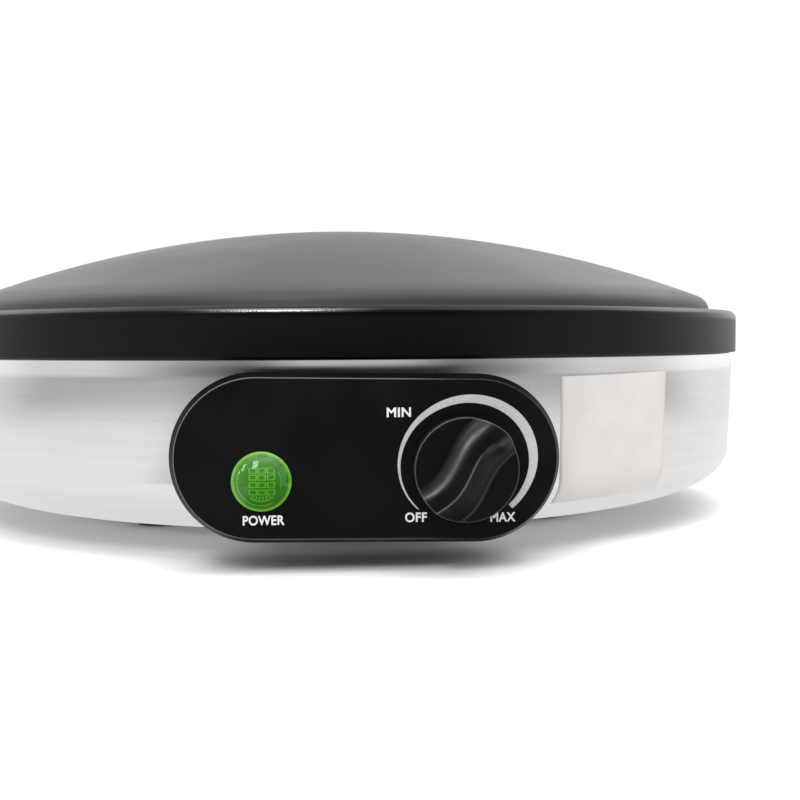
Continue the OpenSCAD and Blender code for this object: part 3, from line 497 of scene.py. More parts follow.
@dataclass(frozen=True)
class Moulded(Finish):
    """Moulded plastic, rubber or fired clay: one colour with a fine grain and slow patches."""

    colour: Colour = (0.02, 0.02, 0.02)
    roughness: float = 0.4
    grain: float = 0.0005
    depth: float = 0.00002
    shift: float = 0.12
    specular: float = 0.5
    patch: float = 0.02
    spread: float = 0.05

    def fill(self, s: Shader, surface: Node) -> None:
        """Tints the colour and roughness with slow patches and bumps it with the grain."""
        height, tint = s.grain(s.object_point(), self.grain, self.patch)
        dark, light = shade(self.colour, 1 - self.shift), shade(self.colour, 1 + self.shift)
        s.feed(surface, {
            "Base Color": s.mix(tint, dark, light),
            "Roughness": s.between(tint, self.roughness - self.spread, self.roughness + self.spread),
            "Specular IOR Level": self.specular,
            "Normal": s.bump(height, self.depth),
        })


@dataclass(frozen=True)
class HighlightPaintedMoulding(Moulded):
    """A moulding with highlight lines painted along its edges and duller sides, where its mesh's attributes
    say so.
    """

    # Colour of the highlight lines painted along the edges.
    painted_highlight: Colour = (0.1, 0.1, 0.105)
    side_shine: float = 0.1

    def fill(self, s: Shader, surface: Node) -> None:
        """Mixes in the painted highlight colour by the "edge" attribute and dulls by the "side" attribute."""
        super().fill(s, surface)
        plain = surface.inputs["Base Color"].links[0].from_socket
        s.feed(surface, {
            "Base Color": s.mix(s.kept("edge"), plain, self.painted_highlight),
            "Specular IOR Level": s.between(s.kept("side"), self.specular, self.specular * self.side_shine),
        })


@dataclass(frozen=True)
class BareMetal(Finish):
    """Plated, drawn or rolled metal with a fine grain and a slow change of shine."""

    colour: Colour = (0.7, 0.7, 0.7)
    roughness: float = 0.35
    grain: float = 0.0006
    depth: float = 0.00001
    shift: float = 0.15
    patch: float = 0.012
    spread: Pair = (0.08, -0.06)

    def fill(self, s: Shader, surface: Node) -> None:
        """Sets a metal whose colour and shine change in patches."""
        height, tint = s.grain(s.object_point(), self.grain, self.patch)
        dull, bright = (self.roughness + change for change in self.spread)
        s.feed(surface, {
            "Base Color": s.mix(tint, shade(self.colour, 1 - self.shift), self.colour),
            "Metallic": 1.0,
            "Roughness": s.between(tint, dull, bright),
            "Normal": s.bump(height, self.depth),
        })


@dataclass(frozen=True)
class SatinStainless(Finish):
    """Stainless sheet with fine brushed lines round the housing and faint broad streaks."""

    colour: Colour = (0.8, 0.79, 0.785)
    streak: float = 0.96
    roughness: float = 0.16
    across: float = 0.00022
    along: float = 0.05
    depth: float = 0.0000008
    smear: Pair = (0.002, 0.06)
    anisotropy: float = 0.35

    def fill(self, s: Shader, surface: Node) -> None:
        """Lays the brushed lines as a bump and the streaks as a change of shine."""
        point = s.object_point()
        inputs = {"Vector": point, "Along": self.along, "Across": self.across}
        lines = s.add("Group", inputs, node_tree=brushing_group()).outputs
        _, smear = s.grain(point, *self.smear)
        slow = s.between(smear, self.roughness - 0.02, self.roughness + 0.03)
        s.feed(surface, {
            "Base Color": s.mix(lines["Streak"], shade(self.colour, self.streak), self.colour),
            "Metallic": 1.0,
            "Roughness": s.plus(slow, s.span(lines["Height"], 0.3, 0.7, -0.02, 0.02)),
            "Anisotropic": self.anisotropy,
            "Normal": s.bump(lines["Height"], self.depth),
        })


@dataclass(frozen=True)
class NonStickCoating(Finish):
    """Dark coating on the casting: matte and faintly specked on top, glossy on the skirt.

    Bands are lengths from where the skirt starts or, for the rim and the worn corner, heights
    over the lip. Shines are roughnesses, but worn_shine is a specular level.
    """

    top: Colour = (0.03, 0.03, 0.032)
    skirt: Colour = (0.0022, 0.0022, 0.0025)
    speck: Colour = (0.12, 0.12, 0.125)
    axis: Pair = (0.0, 0.0)
    skirt_from: float = 0.2
    lip_height: float = 0.1
    skirt_band: Pair = (-0.0012, 0.0006)
    matte_band: Pair = (-0.024, -0.012)
    matte_edge: float = 0.18
    dome_shine: Pair = (0.34, 0.3)
    centre_wear: Pair = (0.06, 0.16)
    centre_shine: float = 0.03
    rim_band: Pair = (-0.006, -0.003)
    rim_shine: Pair = (0.42, 0.2)
    rim_relief: float = 9.0
    worn_foot: Pair = (-0.0038, -0.003)
    worn_head: Pair = (-0.0022, -0.0017)
    worn_at: float = -0.032
    worn_reach: Pair = (0.008, 0.042)
    worn_shine: float = 1.8
    depth: float = 0.00001

    def top_roughness(self, s: Shader, radius: Socket, tint: Socket) -> Socket:
        """Roughness of the top: a matte ring inside the lip, and a middle that use has polished."""
        start, end = (self.skirt_from + change for change in self.matte_band)
        matte_edge = s.span(radius, start, end, 0.0, self.matte_edge)
        used = s.times(s.span(radius, *self.centre_wear, 1.0, 0.0), tint)
        dome = s.plus(matte_edge, s.between(tint, *self.dome_shine))
        return s.minus(dome, s.times(used, self.centre_shine))

    def worn(self, s: Shader, point: Socket, height: Socket, skirt: Socket) -> Socket:
        """Mask of the worn corner below the lip, brightest at one place across the front."""
        foot, head = ([self.lip_height + z for z in band] for band in (self.worn_foot, self.worn_head))
        corner = s.times(s.span(height, *foot), s.span(height, *head, 1.0, 0.0))
        aside = s.math("ABSOLUTE", s.minus(s.split(point)[0], self.worn_at))
        return s.times(s.span(aside, *self.worn_reach, 1.0, 0.0), s.times(corner, skirt))

    def fill(self, s: Shader, surface: Node) -> None:
        """Changes from the matte top to the glossy skirt across a narrow band of the lip."""
        point = s.object_point()
        radius, height = s.reach(point, self.axis)
        skirt = s.span(radius, *(self.skirt_from + change for change in self.skirt_band))
        rim = s.span(height, *(self.lip_height + change for change in self.rim_band))
        grain, tint = s.grain(point, 0.0007, 0.05)
        cast, _ = s.grain(point, 0.0008, 0.004)
        inputs = {"Vector": point, "Spacing": 0.0024, "Fill": 0.16}
        specks = s.add("Group", inputs, node_tree=speck_group()).outputs["Mask"]
        specked = s.mix(s.times(specks, 0.2), s.mix(tint, shade(self.top, 0.86), self.top), self.speck)
        plain = s.times(grain, s.between(skirt, 1.0, 0.15))
        worn = self.worn(s, point, height, skirt)
        gloss = s.between(rim, *self.rim_shine)
        s.feed(surface, {
            "Base Color": s.mix(skirt, specked, self.skirt),
            "Roughness": s.blend(skirt, self.top_roughness(s, radius, tint), gloss),
            "Specular IOR Level": s.plus(s.between(skirt, 0.5, 0.2), s.times(worn, self.worn_shine)),
            "Normal": s.bump(s.plus(plain, s.times(cast, self.rim_relief, rim, skirt)), self.depth),
        })


@dataclass(frozen=True)
class GreenLens(Finish):
    """Translucent green polycarbonate: light lines, a lime rim, and a painted glow in its depth that stands
    in for lamp light the clear dome keeps out.
    """

    core: Colour = (0.03, 0.2, 0.004)
    line: Colour = (0.21, 0.58, 0.05)
    rim: Colour = (0.24, 0.62, 0.06)
    rim_from: Pair = (0.86, 0.97)
    # Strength of the painted glow, standing in for lamp light that the clear dome keeps from the body.
    glow: float = 0.35
    centre: Triple = (0.0, 0.0, 0.0)
    radius: float = 0.011

    def fill(self, s: Shader, surface: Node) -> None:
        """Mixes in the lines' colour by the mesh's marks, darkens the groove with painted shade, and mixes in
        the rim's colour by the distance.
        """
        point = s.object_point()
        flat = s.vector("MULTIPLY", point, (1.0, 0.0, 1.0)).outputs[0]
        away = s.vector("DISTANCE", flat, (self.centre[0], 0.0, self.centre[2])).outputs["Value"]
        height, tint = s.grain(point, 0.0012, 0.004)
        marks = s.kept("marks")
        core = s.mix(tint, self.core, shade(self.core, 1.25))
        # Painted shade: the colour darkens where the marks dip into the groove.
        dark = s.mix(s.span(marks, 0.0, -1.0, 0.0, 0.7), core, shade(self.core, 0.4))
        lined = s.mix(s.span(marks, 0.1, 1.0, 0.0, 0.8), dark, self.line)
        colour = s.mix(s.span(away, *(self.radius * part for part in self.rim_from)), lined, self.rim)
        s.feed(surface, {
            "Base Color": colour,
            "Roughness": 0.35,
            "Specular IOR Level": 0.1,
            # Painted light: the body glows in its own colour.
            "Emission Color": colour,
            "Emission Strength": self.glow,
            "Normal": s.bump(height, 0.00001),
        })


@dataclass(frozen=True)
class ClearShell(Finish):
    """Clear tinted plastic or glass over something else."""

    tint: Colour = (0.8, 1.0, 0.7)
    roughness: float = 0.03
    ior: float = 1.45

    def fill(self, s: Shader, surface: Node) -> None:
        """Sets a transmitting surface with the slightest waviness."""
        height, tint = s.grain(s.object_point(), 0.003, 0.01)
        s.feed(surface, {
            "Base Color": s.mix(tint, self.tint, shade(self.tint, 1.03)),
            "Transmission Weight": 1.0,
            "Roughness": self.roughness,
            "IOR": self.ior,
            "Normal": s.bump(height, 0.000001),
        })


@dataclass(frozen=True)
class Ink(Finish):
    """Screen-printed ink that is thinner, and so darker, in places."""

    colour: Colour = (0.72, 0.73, 0.74)
    grainy: float = 0.1

    def fill(self, s: Shader, surface: Node) -> None:
        """Darkens the ink where its grain lets the black below show."""
        height, _ = s.grain(s.object_point(), 0.0003, 0.004)
        thin = shade(self.colour, 1 - self.grainy * 2)
        s.feed(surface, {
            "Base Color": s.mix(s.span(height, 0.35, 0.6), thin, self.colour),
            "Roughness": 0.5,
            "Normal": s.bump(height, 0.00001),
        })


STAINLESS = SatinStainless("satin_stainless")
GALVANISED = BareMetal("galvanised_sheet", (0.55, 0.57, 0.6), 0.38, 0.004, 0.00001, 0.25)
ZINC = BareMetal("zinc_plate", (0.6, 0.61, 0.63), 0.3, 0.0005, 0.000008)
SPRING = BareMetal("spring_steel", (0.5, 0.5, 0.51), 0.25)
SHEATH = BareMetal("element_sheath", (0.2, 0.19, 0.18), 0.5, 0.0008, 0.00002, 0.3)
BRASS = BareMetal("bare_brass", (0.72, 0.53, 0.22), 0.28)
COPPER = BareMetal("bare_copper", (0.72, 0.4, 0.26), 0.3)
# Both mouldings take the default colour of their painted highlight lines.
PANEL_BLACK = HighlightPaintedMoulding("panel_black", (0.0035, 0.0037, 0.0042), 0.32, 0.0005, 0.000004, 0.1, 0.2)
KNOB_BLACK = HighlightPaintedMoulding("knob_black", (0.0022, 0.0022, 0.0026), 0.36, 0.0004, 0.000003, 0.1, 0.28)
NYLON_BLACK = Moulded("nylon_black", (0.02, 0.02, 0.021), 0.5, 0.0006, 0.00002, 0.15)
RUBBER_BLACK = Moulded("rubber_black", (0.016, 0.016, 0.016), 0.7, 0.0007, 0.00004, 0.25, 0.3)
STEATITE = Moulded("steatite", (0.74, 0.71, 0.63), 0.55, 0.0006, 0.00003, 0.08)
PHENOLIC = Moulded("phenolic_cream", (0.62, 0.57, 0.46), 0.4, 0.0008, 0.00002, 0.08)
NYLON_WHITE = Moulded("nylon_white", (0.75, 0.75, 0.72), 0.45, 0.0006, 0.00002, 0.05)
LAMP_GLASS = ClearShell("lamp_glass", (0.95, 0.95, 0.95), 0.02)
LENS_CLEAR = ClearShell("lens_clear", (0.88, 1.0, 0.72), 0.08, 1.42)
LABEL_WHITE = Moulded("label_white", (0.59, 0.56, 0.545), 0.45, 0.0012, 0.000015, 0.04)
DIAL_INK = Ink("dial_ink", (0.5, 0.5, 0.52), 0.12)
WORD_INK = Ink("word_ink", (0.72, 0.73, 0.74), 0.06)
WIRE_COLOURS: dict[str, Colour] = {
    "wire_live": (0.12, 0.045, 0.02),
    "wire_neutral": (0.02, 0.08, 0.35),
    "wire_lamp_neutral": (0.02, 0.08, 0.35),
    "wire_earth": (0.12, 0.3, 0.03),
    "wire_switched": (0.02, 0.02, 0.02),
    "wire_fused": (0.02, 0.02, 0.02),
    "wire_lamp_live": (0.14, 0.14, 0.14),
}
DRESSED: tuple[tuple[Finish, str], ...] = (
    (SHEATH, "heating_element"),
    (STEATITE, "terminal_bushes terminal_block thermal_fuse"),
    (PHENOLIC, "thermostat_body"),
    (NYLON_WHITE, "lamp_housing"),
    (LAMP_GLASS, "neon_lamp"),
    (NYLON_BLACK, "cord_gland gland_nut"),
    (COPPER, "sensor_bulb capillary_tube"),
    (GALVANISED, "base_plate heat_shield thermostat_bracket lamp_bracket"),
    (SPRING, "element_clamps bulb_clip fuse_clip knob_clip lamp_nut"),
    (BRASS, "thermostat_tabs thermostat_shaft terminal_screws earth_tag earth_screw"),
    (ZINC, "tie_bolts base_screws foot_screws foot_nuts panel_screws thermostat_screws clamp_screws"),
    (ZINC, "tie_spacer_1 tie_spacer_2 tie_spacer_3 tie_spacer_4"),
    (RUBBER_BLACK, "foot_1 foot_2 foot_3 foot_4"),
    *((Moulded(wire + "_sleeve", colour, 0.5, 0.0008, 0.00001, 0.1), wire)
      for wire, colour in WIRE_COLOURS.items()),
)


# Sub-assemblies


@dataclass
class BakingPlate:
    """The cast plate: a dome, a rounded shoulder, a groove, a lip and a deep skirt."""

    wall: float = 0.0045
    skirt_height: float = 0.0204
    skirt_wall: float = 0.0035
    rim: float = 0.018
    dome_rise: float = 0.0356
    shoulder_height: float = 0.007
    shoulder_radius: float = 0.008
    shoulder_end: float = 80.0
    groove: float = 0.004
    groove_rounds: Pair = (0.002, 0.0012)
    lip_foot: float = 0.0052
    lip_crest: float = 0.0026
    crest_drop: float = 0.0026
    crest_round: float = 0.0012
    lip_round: float = 0.0022
    edge_round: float = 0.0006
    seat_inset: Pair = (0.014, 0.008)
    seat_rise: float = 0.0069
    coating_in: float = 0.0012

    def __post_init__(self) -> None:
        """Reads the plate's place and radius from the frame."""
        self.axis, self.radius, _, self.apex = round_size(*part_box("baking_plate"))
        self.lip = self.apex - self.dome_rise - self.shoulder_height

    def profile(self) -> Points:
        """The plate's half section from the apex, over the rim and back under the dome.

        The dome is one circle through the apex and the shoulder. The shoulder's arc starts
        along it and turns down steeply, the rim's corners are rounded, and the inside
        follows the outside at the wall's thickness.
        """
        r, bend, end = self.radius, self.shoulder_radius, self.shoulder_end
        shoulder_r = r - self.rim
        dome_r = (shoulder_r**2 + self.dome_rise**2) / (2 * self.dome_rise)
        dome_centre = (0, self.apex - dome_r)
        slope = math.degrees(math.asin(shoulder_r / dome_r))
        floor = self.lip - self.groove
        bottom = self.lip - self.skirt_height
        ledge, seat = floor - self.wall, bottom + self.seat_rise
        s, steep = math.radians(slope), math.radians(end)
        turn = (shoulder_r - bend * math.sin(s), self.lip + self.shoulder_height - bend * math.cos(s))
        over = arc(turn, bend, slope, end, 14)
        under = arc(turn, bend - self.wall, end, slope, 8)
        foot = over[-1][0] + (over[-1][1] - floor) / math.tan(steep)
        rim = rounded([
            (*over[-1], 0),
            (foot, floor, self.groove_rounds[0]),
            (r - self.lip_foot, floor, self.groove_rounds[1]),
            (r - self.lip_crest, self.lip, self.crest_round),
            (r, self.lip - self.crest_drop, self.lip_round),
            (r, bottom, self.edge_round),
            (r - self.skirt_wall, bottom, self.edge_round),
            (r - self.skirt_wall, ledge, 0.002),
            (r - self.seat_inset[1], ledge, 0),
            (r - self.seat_inset[1], seat, 0),
            (r - self.seat_inset[0], seat, 0),
            (r - self.seat_inset[0], ledge, 0),
            (foot - self.wall / math.sin(steep), ledge, 0),
            (*under[0], 0),
        ])
        dome = arc(dome_centre, dome_r, 0, slope, 48)
        inside = arc(dome_centre, dome_r - self.wall, slope, 0, 24)
        return np.vstack([dome[:-1], over[:-1], rim, under[1:], inside[1:]])

    def build(self) -> None:
        """Makes the plate and dresses it with its coating."""
        grid = revolved(self.profile(), self.axis)
        made = piece("plate_casting", grid)
        skirt_from = self.radius - self.lip_crest - self.coating_in
        finish = NonStickCoating(
            "nonstick_coating", axis=self.axis, skirt_from=skirt_from, lip_height=self.lip
        )
        carry(made, Body.BASE, finish, "baking_plate", slot="nonstick_coating")
        points = grid.shape[0] * grid.shape[1]
        LOG.info("plate_casting: %d points round a radius of %.3f m", points, self.radius)


@dataclass
class Housing:
    """The stainless housing: a rounded lower corner, a tall wall, a crease and a narrow band."""

    sheet: float = 0.0008
    neck_inset: float = 0.0055
    crease_inset: float = 0.002
    taper: float = 0.0015
    curve_width: float = 0.048
    curve_height: float = 0.023
    body_height: float = 0.0657
    band: float = 0.0048
    band_lean: float = 0.00076
    band_rounds: Triple = (0.0004, 0.0009, 0.0014)
    skirt_gap: float = 0.0001
    crease_round: float = 0.036
    flange: float = 0.0085
    base_lap: float = 0.008

    def __post_init__(self) -> None:
        """Reads the housing's place and its opening from the frame."""
        self.axis, self.crease_r, self.bottom, self.top = round_size(*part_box("outer_body"))
        _, base_r, _, _ = round_size(*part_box("base_plate"))
        self.opening = base_r - self.base_lap
        self.crease_z = self.bottom + self.body_height
        self.curve_z = self.bottom + self.curve_height
        self.low_r = self.crease_r - self.taper
        self.neck_r = self.crease_r + self.crease_inset - self.neck_inset

    def wall_radius(self, z: np.ndarray) -> np.ndarray:
        """The outside's radius at a height: a cone above the curve, and an ellipse below it."""
        cone = self.low_r + self.taper * (z - self.curve_z) / (self.crease_z - self.curve_z)
        depth = np.clip((self.curve_z - z) / self.curve_height, 0, 1)
        ellipse = self.low_r - self.curve_width + self.curve_width * np.sqrt(1 - depth**2)
        return np.where(z >= self.curve_z, cone, ellipse)

    def profile(self) -> Points:
        """The sheet's closed half section: the outside up to the flange, then back inside."""
        a = np.radians(np.linspace(-90, 0, 31))
        curve = np.stack([
            self.low_r - self.curve_width * (1 - np.cos(a)),
            self.curve_z + self.curve_height * np.sin(a),
        ], axis=1)
        wall = np.linspace(curve[-1], (self.crease_r, self.crease_z), 10)[1:-1]
        band_top = self.crease_z + self.band - self.skirt_gap
        top = rounded([
            (*wall[-1], 0),
            (self.crease_r, self.crease_z, self.crease_round),
            (self.crease_r - self.band_lean, band_top, self.band_rounds[0]),
            (self.neck_r, band_top, self.band_rounds[1]),
            (self.neck_r, self.top, self.band_rounds[2]),
            (self.neck_r - self.flange, self.top, 0),
        ], steps=8)
        outside = np.vstack([[(self.opening, self.bottom)], curve, wall[:-1], top])
        return np.vstack([outside, offset(outside, self.sheet)[::-1]])

    def build(self) -> None:
        """Makes the housing and dresses it in satin stainless."""
        made = piece("housing_shell", revolved(self.profile(), self.axis), sharp=50.0, loops=(True, True))
        carry(made, Body.BASE, STAINLESS, "outer_body", slot="stainless_steel")
        LOG.info("housing_shell: radius %.3f m at the crease", self.crease_r)


@dataclass
class ControlPanel:
    """The black stadium-shaped moulding, with a rounded front edge and a rear that fits the wall.

    It has grown from its node by lengths at each end, below and above.
    """

    housing: Housing
    wall: float = 0.0025
    inner_bevel: float = 0.001
    bevel: Pair = (0.002, 0.005)
    crisp: float = 0.00035
    side_round: float = 0.001
    flat_from: float = 0.004
    gap: float = 0.0001
    grown: Triple = (0.001, 0.0009, 0.0008)
    slant: float = 0.9
    # Depths behind the face where a highlight line is painted along the front edge; it fades towards the
    # right end.
    painted_highlight: Pair = (0.00001, 0.0005)
    fade_end: float = 0.034
    fade: float = 0.02
    fade_least: float = 0.1

    def __post_init__(self) -> None:
        """Reads the panel's size and face from the frame."""
        self.low, self.high = (corner.copy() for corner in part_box("control_panel"))
        sides, below, above = self.grown
        self.low -= Vector((sides, 0, below))
        self.high += Vector((sides, 0, above))
        self.centre = Vector((self.low.x + self.high.x, 2 * self.low.y, self.low.z + self.high.z)) / 2
        self.half_height = (self.high.z - self.low.z) / 2
        self.half_straight = (self.high.x - self.low.x) / 2 - self.half_height

    def outline(self, inset: np.ndarray) -> Points:
        """Stadium outlines at several insets, as (across, up) points that keep their number.

        Two half circles of radius (half height - inset) stand on the ends of the straight
        stretch, and the straights are split evenly, so the smallest outline folds into a line.
        """
        r = (self.half_height - inset)[:, None]
        bend = np.radians(np.linspace(-90, 90, 41))[None, :]
        run = np.linspace(1, -1, 25)[None, 1:-1] * self.half_straight
        right = np.stack([self.half_straight + r * np.cos(bend), r * np.sin(bend)], axis=-1)
        top = np.stack([run + 0 * r, r + 0 * run], axis=-1)
        return np.concatenate([right, top, -right, -top], axis=1)

    def wall_depth(self, across: np.ndarray, up: np.ndarray) -> np.ndarray:
        """How far behind the face the housing's outside lies at points of the panel."""
        radius = self.housing.wall_radius(self.centre.z + up) + self.gap
        x = self.centre.x + across - self.housing.axis[0]
        return self.housing.axis[1] - np.sqrt(radius**2 - x**2) - self.centre.y

    def section(self) -> Points:
        """The moulding's section as (inset, depth) points, from the middle round to its back.

        A depth of TO_WALL stands for wherever the housing's wall is.
        """
        inward, deep = self.bevel
        edge = rounded([
            (self.flat_from, 0, 0),
            (inward + 0.0005, 0, 0),
            (inward, 0, self.crisp),
            (inward - 0.0002, 0.00055, 0),
            (0, deep, self.side_round),
            (0.0001, deep + 0.002, 0),
        ], steps=5)
        face = np.linspace(self.half_height, self.flat_from, 10)[:-1]
        inner = self.wall + self.inner_bevel
        back = [(0.0005, TO_WALL), (self.wall, TO_WALL), (self.wall, inner), (inner, self.wall)]
        return np.vstack([np.stack([face, 0 * face], axis=1), edge, back, (self.half_height, self.wall)])

    def build(self) -> None:
        """Makes the shell from rings of one section and fits its rear edge to the wall."""
        section = self.section()
        flat = turned(self.outline(section[:, 0]), -self.slant)
        depth = np.repeat(section[:, 1:], flat.shape[1], axis=1)
        depth = np.where(depth == TO_WALL, self.wall_depth(flat[..., 0], flat[..., 1]), depth)
        made = piece("panel_moulding", faced(np.dstack([flat, -depth]), self.centre), sharp=40.0)
        x, y, _ = coordinates(made).T
        behind = y - self.centre.y
        # Painted highlight along the front edge, fainter towards the right end.
        faded = np.clip((self.fade_end - x) / self.fade, self.fade_least, 1)
        keep_values(made, "edge", ((behind > self.painted_highlight[0]) & (behind < self.painted_highlight[1])) * faded)
        keep_values(made, "side", (behind > self.painted_highlight[1]).astype(float))
        carry(made, Body.BASE, PANEL_BLACK, "control_panel", slot="panel_plastic")
        LOG.info("panel_moulding: %.3f by %.3f m", self.high.x - self.low.x, 2 * self.half_height)


@dataclass
class Knob:
    """The knob: a round base, and a waving grip with one soft and one crisp ridge.

    The lines of the grip are its left foot, soft ridge, crisp ridge and right foot. Each has
    its middle, and its share of the swing, in millimetres.
    """

    base_height: float = 0.009
    grip: float = 0.009
    edge: float = 0.0005
    edge_middle: Pair = (0.7, 0.3)
    foot: float = 0.0003
    sole: float = 0.985
    tilt: float = 49.0
    wave_rate: float = 9.5
    lines: tuple[Pair, ...] = ((-9.5, 1.6), (-2.9, 1.1), (0.5, 1.7), (9.5, 1.6))
    hollow: float = 1.6
    droops: Pair = (0.14, 0.24)

    def __post_init__(self) -> None:
        """Reads the knob's place from the frame."""
        low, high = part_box("control_knob")
        joint = next(j for j in frame["joints"] if j["child"] == Body.KNOB.value)
        self.centre = Vector((joint["pos_m"][0], high.y, joint["pos_m"][2]))
        self.radius = max(high.x - low.x, high.z - low.z) / 2

    def swing(self, along: np.ndarray) -> np.ndarray:
        """The sine, along the grip in millimetres, that its lines swing by."""
        return np.sin(np.radians(self.wave_rate * along))

    def section(self, along: np.ndarray, across: np.ndarray) -> np.ndarray:
        """Height of the grip over the round base, for lengths in millimetres.

        The four lines swing together along the grip. From the left foot the flank rises as a
        quarter ellipse to the flat top, and from the crisp ridge it falls to the right foot a
        little hollow. Towards one end the crisp ridge melts into a half cosine. Both ends of
        the top droop by the fourth power.
        """
        swing = self.swing(along)
        left, soft, crisp, right = (middle - share * swing for middle, share in self.lines)
        rise = np.clip((across - left) / (soft - left), 0, 1)
        fall = np.clip((across - crisp) / (right - crisp), 0, 1)
        melted = np.clip((along - 5) / 9, 0, 1) ** 2
        flank = (1 - melted) * (1 - fall) ** self.hollow + melted * (0.5 + 0.5 * np.cos(fall * math.pi))
        droop = 1 - np.where(along > 0, *self.droops) * (np.abs(along) / (self.radius * MILLI)) ** 4
        return self.grip * droop * np.sqrt(1 - (1 - rise) ** 2) * flank

    def top_grid(self) -> Points:
        """The knob's front as rows across the grip, clipped to the circle of its base.

        The stations across are in millimetres. They swing with the feet, and lie closest
        together at the left foot.
        """
        r = (self.radius - self.edge) * MILLI
        along = r * np.sin(np.radians(np.linspace(-90, 90, 121)))[:, None]
        stations = np.concatenate([
            np.linspace(-20, -9.6, 14), -9.5 + 6.6 * np.linspace(0, 1, 24) ** 1.6,
            np.linspace(-2.6, 0.4, 8), np.linspace(0.5, 9.5, 26), np.linspace(9.6, 20, 14),
        ])
        reach = np.sqrt(np.maximum(r**2 - along**2, 0))
        across = np.clip(stations - self.lines[0][1] * self.swing(along), -reach, reach)
        u = np.repeat(along, across.shape[1], axis=1)
        return np.stack([u / MILLI, -across / MILLI, self.base_height + self.section(u, across)], axis=-1)

    def build(self) -> None:
        """Makes the front, its rounded rim, the side and the underside as one closed surface."""
        top = self.top_grid()
        border = np.concatenate([top[:, -1], top[::-1, 0]])
        out = self.radius / (self.radius - self.edge)
        part, drop = self.edge_middle
        half = 1 + (out - 1) * part
        wide = border * [out, out, 1]
        side = np.stack([
            border,
            border * [half, half, 1] - [0, 0, self.edge * drop],
            wide - [0, 0, self.edge],
            wide * [1, 1, 0] + [0, 0, self.base_height * 0.5],
            wide * [1, 1, 0] + [0, 0, self.foot],
            border * [self.sole, self.sole, 0],
            border * 0,
        ])
        made = piece("knob_grip", self.placed(side))
        self.join_top(made, top)
        # Painted highlight lines on the crisp ridge, the right foot and the rim.
        keep_values(made, "edge", self.painted_highlight(coordinates(made)))
        carry(made, Body.KNOB, KNOB_BLACK, "control_knob", slot="knob_plastic")
        LOG.info("knob_grip: %.4f m across", 2 * self.radius)

    def painted_highlight(self, points: Points) -> np.ndarray:
        """How strongly highlight lines are painted on the crisp ridge, the right foot and the rim, at points
        in the frame.

        The points are turned back to lie along and across the grip, in millimetres.
        """
        level = points[:, [0, 2]] - [self.centre.x, self.centre.z]
        along, across = (turned(level, -self.tilt) * [MILLI, -MILLI]).T
        (crisp, crisp_share), (foot, foot_share) = self.lines[2:]
        swing = self.swing(along)
        rim = (np.hypot(*level.T) - self.radius + self.edge_middle[1] * self.edge) * MILLI
        strength = np.max([
            0.9 * bell(across - crisp + crisp_share * swing, 0.3) * np.clip((9 - along) / 5, 0, 1),
            0.35 * bell(across - foot + foot_share * swing, 0.3),
            0.6 * bell(rim, 0.06),
        ], axis=0)
        return strength * (self.centre.y - points[:, 1] > self.base_height - self.edge)

    def placed(self, points: Points) -> Points:
        """Turns knob points to the grip's angle at rest and stands them on the panel."""
        return faced(turned(points, self.tilt), self.centre)

    def join_top(self, made: Item, top: Points) -> None:
        """Adds the front's grid to the side and merges the two along the rim."""
        front = piece("knob_front", self.placed(top), loops=(False, False))
        work = bmesh.new()
        work.from_mesh(made.data)
        work.from_mesh(front.data)
        work.to_mesh(made.data)
        work.free()
        bpy.data.objects.remove(front)
        finish_mesh(made.data)


